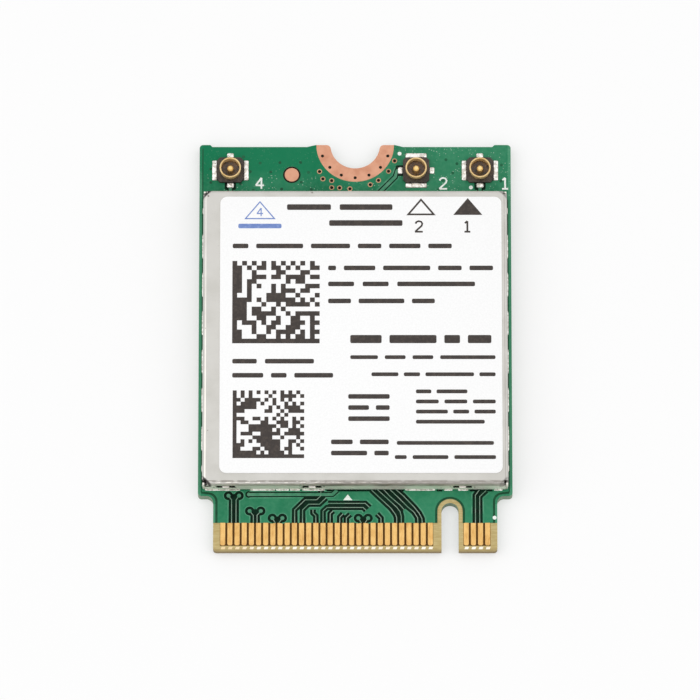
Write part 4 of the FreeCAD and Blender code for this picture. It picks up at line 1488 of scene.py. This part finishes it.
@dataclass
class Shield:
    """Tinned shield with its solder along the foot."""

    front: float = -10.5
    back: float = 11.09
    side: float = 10.65
    level: float = BOARD_TOP
    bead_height: float = 0.1
    bead_width: float = 0.25
    bead_sink: float = 0.02
    bead_wobble: float = 0.012
    crown: Triple = (0.5, 0.24, 0.22)
    crown_front: float = -10.53
    crown_back: float = 11.12
    crown_side: float = 10.63
    post: Triple = (0.15, 0.15, 1.22)
    post_bevel: float = 0.045
    post_side: float = 10.595
    post_front: float = -10.445
    post_back: float = 11.035
    side_beads: int = 6
    gap_pitch: float = 2.84
    gap_length: float = 0.75
    bead_margin: float = 0.3
    front_beads: tuple[Point, ...] = (
        (-10.5, -8.05), (-7.36, -5.6), (-5.54, -4.63), (-4.56, -3.86), (-3.7, -2.1), (3.5, 5.6), (6.2, 6.8),
        (7.2, 7.9), (9.7, 10.3),
    )

    def build(self, nodes: dict[str, Object], finishes: Finishes) -> None:
        """Dress the sheet and lay the solder.

        Args:
            nodes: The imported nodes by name.
            finishes: The card's materials.
        """
        dress(nodes, ("shield_cover",), finishes.cover)
        dress(nodes, ("shield_frame",), finishes.frame)
        hand_over(self._beads(), "foot_solder", finishes.solder, smooth=ROUNDED)
        # Dimple crowns and frame corner posts take the painted-highlight tin.
        hand_over(self._crowns(), "snap_dimple_crowns", finishes.dimple_highlight, smooth=ROUNDED)
        hand_over(self._posts(), "frame_corner_posts", finishes.dimple_highlight, smooth=ROUNDED)

    def _crowns(self) -> Object:
        """Crowns of the snap dimples, which look out of the windows of all four walls.

        Returns:
            The joined piece.
        """
        length, depth, height = self.crown
        crowns = []
        for across in LONG_WALL_SNAPS:
            for along in (self.crown_front, self.crown_back):
                crowns.append(pillow((length, depth, height), (across, along, SNAP_LEVEL), cuts=1, levels=2))
        for along in SIDE_WALL_SNAPS:
            for across in (-self.crown_side, self.crown_side):
                crowns.append(pillow((depth, length, height), (across, along, SNAP_LEVEL), cuts=1, levels=2))
        return join(crowns)

    def _posts(self) -> Object:
        """Round frame corners that show in the open corners of the cover.

        Returns:
            The joined piece.
        """
        posts = []
        for across in (-self.post_side, self.post_side):
            for along in (self.post_front, self.post_back):
                post = block(self.post, (across, along, self.level + self.post[2] / 2))
                with shaping(post, Kind.EDGE):
                    bpy.ops.mesh.bevel(offset=self.post_bevel * MM, segments=3)
                posts.append(post)
        return join(posts)

    def _bead(self, size: Point, middle: Point) -> Object:
        """One run of solder against the foot.

        Args:
            size: Its width and length.
            middle: Its middle.

        Returns:
            The new object.
        """
        level = self.level + self.bead_height / 2 - self.bead_sink
        bead = pillow((*size, self.bead_height), (*middle, level), cuts=3, levels=1)
        seed = int(abs(middle[0] * 100 + middle[1] * 10))
        with shaping(bead, Kind.CORNER):
            bpy.ops.transform.vertex_random(offset=self.bead_wobble * MM, seed=seed)
        return bead

    def _beads(self) -> Object:
        """All runs of solder round the foot.

        Returns:
            The joined piece.
        """
        beads = []
        for start, end in self.front_beads:
            for along in (self.front, self.back):
                beads.append(self._bead((end - start, self.bead_width), ((start + end) / 2, along)))
        length = self.gap_pitch - self.gap_length - self.bead_margin
        for step in range(self.side_beads):
            along = SHIELD_MIDDLE + (step - (self.side_beads - 1) / 2) * self.gap_pitch
            for across in (-self.side, self.side):
                beads.append(self._bead((self.bead_width, length), (across, along)))
        return join(beads)


@dataclass
class Label:
    """Adhesive label with plain bars, code blocks and port marks as its print.

    Places of the print are counted on a layout sheet, from its upper left.
    """

    left: float
    right: float
    front: float
    back: float
    foot: float
    top: float
    ink: float = 0.004
    corner: float = 0.5
    edge_band: float = 0.01
    edge_bevel: float = 0.015
    sheet_left: float = 220.5
    sheet_top: float = 196.5
    across_scale: float = 19.8 / 280.1
    along_scale: float = 20.39 / 275
    bar_corner: float = 0.1
    triangle_rise: float = 0.61
    seed: int = 11
    cells: int = 18
    code_blocks: tuple[tuple[Point, Point, int], ...] = (
        ((232.8, 319.6), (261, 343.2), 3), ((233.6, 304.4), (390, 457), 5))
    black_triangles: tuple[tuple[float, ...], ...] = ((420.5, 206.7, 2.07, 0.13), (467.1, 206.4, 2.05, 0.0))
    black_numbers: tuple[tuple[Digit, float, float, float, float], ...] = (
        (Digit.TWO, 418.4, 226.4, 0.79, 0.135), (Digit.ONE, 466.4, 226.4, 0.79, 0.135))
    blue_triangle: tuple[float, ...] = (260, 210, 2.22, 0.085)
    blue_number: tuple[Digit, float, float, float, float] = (Digit.FOUR, 260, 212, 0.6, 0.085)
    blue_bar: tuple[float, ...] = (238.5, 281.5, 226, 0.34)
    lines: tuple[tuple[float, float, float, float, tuple[int, ...]], ...] = (
        (287, 392, 207, 0.42, (5, 6)),
        (329, 402, 223, 0.42, (8,)),
        (233, 451, 246, 0.34, (2, 6, 5, 3, 4, 3)),
        (328, 492, 268, 0.34, (1, 4, 6, 3, 3)),
        (328, 474, 284, 0.34, (3, 3, 9)),
        (328, 434, 301, 0.34, (3, 6, 3)),
        (350, 490, 339, 0.6, (4, 6, 2, 3)),
        (350, 494, 357, 0.28, (4, 3, 3, 8)),
        (371, 494, 374, 0.28, (5, 3, 9, 3)),
        (415, 466, 391, 0.28, (3, 6)),
        (415, 494, 401, 0.28, (4, 4, 4)),
        (415, 494, 411, 0.28, (6, 3, 4)),
        (415, 483, 421, 0.28, (10,)),
        (348, 389, 396, 0.34, (5,)),
        (348, 389, 407, 0.34, (3, 2)),
        (348, 389, 418, 0.34, (5,)),
        (331, 388, 441, 0.34, (3, 4)),
        (331, 388, 452, 0.34, (5, 2)),
        (396, 492, 442, 0.28, (14,)),
        (394, 494, 456, 0.28, (2, 6, 7)),
        (233, 314, 361, 0.34, (3, 6)),
        (233, 333, 375, 0.34, (4, 2, 5)),
    )

    @classmethod
    def on_node(cls, name: str) -> "Label":
        """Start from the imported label.

        Args:
            name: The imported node.

        Returns:
            A label of the same size in the same place.
        """
        low, high = (Vector(corner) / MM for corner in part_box(name))
        return cls(low.x, high.x, low.y, high.y, low.z, high.z)

    @property
    def face(self) -> float:
        """Level of the paper, one layer of ink under the top."""
        return self.top - self.ink

    def build(self, finishes: Finishes) -> None:
        """Model and dress the label and its print.

        Args:
            finishes: The card's materials.
        """
        hand_over(self._stock(), "label_stock", finishes.paper, stands_for=("label",))
        flat = [self._bars(), *(self._code_block(*code) for code in self.code_blocks)]
        flat += [self._triangle(*mark) for mark in self.black_triangles]
        black = [raise_up(join(flat), self.ink), *(self._number(*mark) for mark in self.black_numbers)]
        hand_over(join(black), "label_black_print", finishes.black_ink)
        flat = [self._triangle(*self.blue_triangle), self._blue_bar()]
        blue = [raise_up(join(flat), self.ink), self._number(*self.blue_number)]
        hand_over(join(blue), "label_blue_print", finishes.blue_ink)

    def _spot(self, across: float, along: float) -> Point:
        """Place on the card of a place on the label's layout sheet."""
        return (self.left + (across - self.sheet_left) * self.across_scale,
                self.back - (along - self.sheet_top) * self.along_scale)

    def _stock(self) -> Object:
        """Round-cornered sheet with softened upper edges.

        Returns:
            The new object.
        """
        middle = ((self.left + self.right) / 2, (self.front + self.back) / 2)
        stock = sheet(self.right - self.left, self.back - self.front, middle, self.foot)
        round_corners(stock, self.corner, 8)
        raise_up(stock, self.face - self.foot)

        def upper(edge: MeshEdge) -> bool:
            """Whether an edge lies on the upper face."""
            ends = [stock.data.vertices[index].co.z for index in edge.vertices]
            return all(height > (self.face - self.edge_band) * MM for height in ends)

        with shaping(stock, Kind.EDGE, upper):
            bpy.ops.mesh.bevel(offset=self.edge_bevel * MM, segments=2)
        return stock

    def _bars(self) -> Object:
        """Words of every line as round-ended bars.

        Returns:
            The joined piece.
        """
        words = []
        for start, end, along, weight, counts in self.lines:
            pitch = (end - start) / (sum(counts) + len(counts) - 1)
            place = start
            for count in counts:
                middle = self._spot(place + count * pitch / 2, along)
                words.append(sheet(count * pitch * self.across_scale, weight, middle, self.face))
                place += (count + 1) * pitch
        return round_corners(join(words), self.bar_corner, 3)

    def _code_block(self, across: Point, along: Point, draw: int) -> Object:
        """Square block of random cells inside a plain frame.

        Args:
            across: Its left and right ends on the layout sheet.
            along: Its upper and lower ends there.
            draw: Which of the random draws it shows.

        Returns:
            The new object.
        """
        low, high = self._spot(across[0], along[1]), self._spot(across[1], along[0])
        middle = metres((low[0] + high[0]) / 2, (low[1] + high[1]) / 2, self.face)
        deselect()
        bpy.ops.mesh.primitive_grid_add(
            x_subdivisions=self.cells, y_subdivisions=self.cells, size=1, location=middle)
        bpy.context.active_object.scale = (*metres(high[0] - low[0], high[1] - low[1]), 1)
        piece = settle()
        chance = random.Random(self.seed + draw)
        last = self.cells - 1

        def blank(face: MeshPolygon) -> bool:
            """Whether a cell stays white; only cells inside the frame are drawn by chance.

            Args:
                face: The cell.

            Returns:
                True for white.
            """
            row, column = divmod(face.index, self.cells)
            if 0 < row < last and 0 < column < last:
                return chance.random() >= 0.5
            dashed = (row == last and column % 2 == 0) or (column == last and row % 2 == 0)
            return row > 0 and column > 0 and not dashed

        with shaping(piece, Kind.FACE, blank):
            bpy.ops.mesh.delete(type="FACE")
        return piece

    def _triangle(self, across: float, along: float, width: float, stroke: float) -> Object:
        """Triangle that points to the back.

        Args:
            across: Its place across the layout sheet.
            along: Its place along the sheet.
            width: Its width.
            stroke: Width of its outline, or 0 for a solid triangle.

        Returns:
            The new object.
        """
        piece = triangle(self._spot(across, along), (width, self.triangle_rise * width), self.face)
        if stroke:
            with shaping(piece):
                inset(stroke)
                bpy.ops.mesh.delete(type="FACE")
        return piece

    def _number(self, digit: Digit, across: float, along: float, height: float, stroke: float) -> Object:
        """Printed number at a place on the layout sheet."""
        return number(digit, self._spot(across, along), height, stroke, self.ink, self.face)

    def _blue_bar(self) -> Object:
        """Bar under the left-hand port mark.

        Returns:
            The new object.
        """
        start, end, along, weight = self.blue_bar
        low, high = self._spot(start, along), self._spot(end, along)
        bar = sheet(high[0] - low[0], weight, ((low[0] + high[0]) / 2, low[1]), self.face)
        return round_corners(bar, self.bar_corner, 3)


@dataclass
class Receptacles:
    """Antenna receptacles with domed solder on their pads."""

    base: float = 1.85
    reach: float = 0.37
    long_pad: float = 1.5
    short_pad: float = 0.5
    foot: float = 0.765
    flank: float = 0.06
    corner: float = 0.1
    steps: tuple[Point, ...] = ((0.014, 0.03), (0.028, 0.026), (0.04, 0.014))
    along: float = 13.08
    floor: float = 1.0
    well_radius: float = 0.64
    well_height: float = 0.05
    well_steps: tuple[Point, ...] = ((0.16, 0.0), (0.1, -0.03))
    places: dict[str, tuple[float, bool]] = field(default_factory=lambda: {
        "left_antenna": (-8.82, False), "middle_antenna": (4.31, True), "right_antenna": (8.82, False)})

    def build(self, nodes: dict[str, Object], finishes: Finishes) -> None:
        """Dress the receptacles and dome their solder.

        Args:
            nodes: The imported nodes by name.
            finishes: The card's materials.
        """
        for name, (across, turned) in self.places.items():
            dress(nodes, (f"{name}_base",), finishes.resin)
            dress(nodes, (f"{name}_shell",), finishes.receptacle_gold)
            dress(nodes, (f"{name}_pin",), finishes.pin_gold)
            domes = self._domes(across, turned)
            hand_over(domes, f"{name}_solder_domes", finishes.solder, smooth=ROUNDED,
                      stands_for=(f"{name}_solder_pads",))
            hand_over(self._well(across), f"{name}_well_floor_painted_glints", finishes.well_floor_painted_glints)

    def _domes(self, across: float, turned: bool) -> Object:
        """The four solder joints of one receptacle.

        Args:
            across: The receptacle's place along X.
            turned: Whether its long pads are at the front and back.

        Returns:
            The joined piece.
        """
        away = self.base / 2 + self.reach / 2
        domes = []
        for side in (-1, 1):
            for sideways, length in ((not turned, self.long_pad), (turned, self.short_pad)):
                size = (self.reach, length) if sideways else (length, self.reach)
                shift = (side * away, 0) if sideways else (0, side * away)
                domes.append(self._dome(size, (across + shift[0], self.along + shift[1])))
        return join(domes)

    def _dome(self, size: Point, middle: Point) -> Object:
        """One pillow of solder that fills its pad and swells to a soft crown.

        Args:
            size: Width and length of the pad.
            middle: Its middle.

        Returns:
            The new object.
        """
        dome = round_corners(sheet(*size, middle, self.foot), self.corner, 4)
        with shaping(dome):
            extrude(self.flank)
            for width, rise in self.steps:
                inset(width, rise)
            turn_outwards()
        return dome

    def _well(self, across: float) -> Object:
        """Glossy floor inside the shell, dished towards the pin.

        Args:
            across: The receptacle's place along X.

        Returns:
            The new object.
        """
        foot = disc(self.well_radius, (across, self.along), self.floor, sides=32)
        floor = raise_up(foot, self.well_height)
        with shaping(floor, Kind.FACE, looks_up):
            for width, rise in self.well_steps:
                inset(width, rise)
        return floor


@dataclass
class SmallParts:
    """Copper marks and the chips under the shield."""

    copper: tuple[str, ...] = ("ground_ring_top", "ground_ring_bottom", "fiducial_mark")
    chips: tuple[str, ...] = ("radio_chip", "front_end_modules", "flash_memory_chip", "voltage_regulator")
    ceramics: tuple[str, ...] = ("antenna_filters", "ceramic_capacitors")

    def build(self, nodes: dict[str, Object], finishes: Finishes) -> None:
        """Dress every node.

        Args:
            nodes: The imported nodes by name.
            finishes: The card's materials.
        """
        dress(nodes, self.copper, finishes.copper)
        dress(nodes, self.chips, finishes.chip)
        dress(nodes, self.ceramics, finishes.ceramic)
        dress(nodes, ("power_inductors",), finishes.ferrite)
        dress(nodes, ("crystal_can",), finishes.crystal)
        dress(nodes, ("capacitor_end_caps",), finishes.solder)


@dataclass
class Studio:
    """Pale floor, soft light and the camera."""

    floor: Colour = screen(250, 250, 250)
    floor_size: float = 4000.0
    floor_glow: float = 0.42
    sky: float = 0.74
    aim: Triple = (-0.365, -0.263, 0.8)
    elevation: float = 71.9
    distance: float = 653.8
    lens: float = 478.5
    sensor: float = 36.0
    far: float = 10.0
    lamp_place: Triple = (360.0, -60.0, 440.0)
    lamp_size: float = 640.0
    left_power: float = 0.9
    right_power: float = 0.74

    def build(self) -> None:
        """Set floor, world, lamps, camera and view."""
        self._floor()
        self._world()
        self._lamp("left_lamp", -1, self.left_power)
        self._lamp("right_lamp", 1, self.right_power)
        self._camera()
        bpy.context.scene.view_settings.view_transform = "Standard"

    def _floor(self) -> None:
        """Plain floor under the card, part lit and part white to the eye and in reflections."""
        plane = sheet(self.floor_size, self.floor_size, (0, 0), 0)
        plane.name = "floor"
        tree, material = Shader.of_material("pale_floor")
        lit = tree.node("ShaderNodeBsdfDiffuse", None, {"Color": self.floor})
        white = tree.node("ShaderNodeEmission", None, {"Color": WHITE, "Strength": 1.0})
        mixed = tree.node("ShaderNodeMixShader", None,
                          {0: self._seen(tree) * self.floor_glow, 1: lit.outputs[0], 2: white.outputs[0]})
        tree.node("ShaderNodeOutputMaterial", None, {"Surface": mixed.outputs[0]})
        plane.data.materials.append(material)

    def _seen(self, tree: Shader) -> Value:
        """1 for rays from the eye and for reflected and transmitted ones.

        Args:
            tree: The shader tree.

        Returns:
            The mask.
        """
        rays = tree.node("ShaderNodeLightPath")
        names = ("Is Camera Ray", "Is Glossy Ray", "Is Transmission Ray")
        return reduce(or_, [Value(tree, rays.outputs[name]) for name in names])

    def _world(self) -> None:
        """White world, full to the eye and in reflections, softer as light."""
        world = bpy.data.worlds.new("soft_box")
        world.use_nodes = True
        bpy.context.scene.world = world
        tree = Shader(world.node_tree)
        back = tree.node("ShaderNodeBackground", None,
                         {"Color": WHITE, "Strength": self.sky + self._seen(tree) * (1 - self.sky)})
        tree.node("ShaderNodeOutputWorld", None, {"Surface": back.outputs[0]})

    def _lamp(self, name: str, side: int, power: float) -> None:
        """Hang one broad soft lamp over the card.

        Args:
            name: The lamp's name.
            side: -1 for the left, 1 for the right.
            power: Its power in watts.
        """
        data = bpy.data.lights.new(name, "AREA")
        data.size = self.lamp_size * MM
        data.energy = power
        lamp = bpy.data.objects.new(name, data)
        bpy.context.scene.collection.objects.link(lamp)
        across, along, height = self.lamp_place
        lamp.location = Vector((side * across, along, height)) * MM
        lamp.rotation_euler = (-lamp.location).to_track_quat("-Z", "Y").to_euler()

    def _camera(self) -> None:
        """Long lens, high above the card's front edge."""
        data = bpy.data.cameras.new("camera")
        data.sensor_width = self.sensor
        data.lens = self.lens
        data.clip_end = self.far
        camera = bpy.data.objects.new("camera", data)
        bpy.context.scene.collection.objects.link(camera)
        rise = math.radians(self.elevation)
        away = Vector((0, -math.cos(rise), math.sin(rise)))
        camera.location = (Vector(self.aim) + away * self.distance) * MM
        camera.rotation_euler = (-away).to_track_quat("-Z", "Y").to_euler()
        bpy.context.scene.camera = camera


def main() -> None:
    """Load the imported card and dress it."""
    logging.basicConfig(level=logging.INFO, format="%(message)s")
    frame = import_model()
    nodes = frame["nodes"]
    finishes = Finishes()
    dress(nodes, ("circuit_board",), finishes.board)
    BoardFace().build(finishes)
    EdgeContacts().build(nodes, finishes)
    Shield().build(nodes, finishes)
    Label.on_node("label").build(finishes)
    Receptacles().build(nodes, finishes)
    SmallParts().build(nodes, finishes)
    Studio().build()


if __name__ == "__main__":
    main()
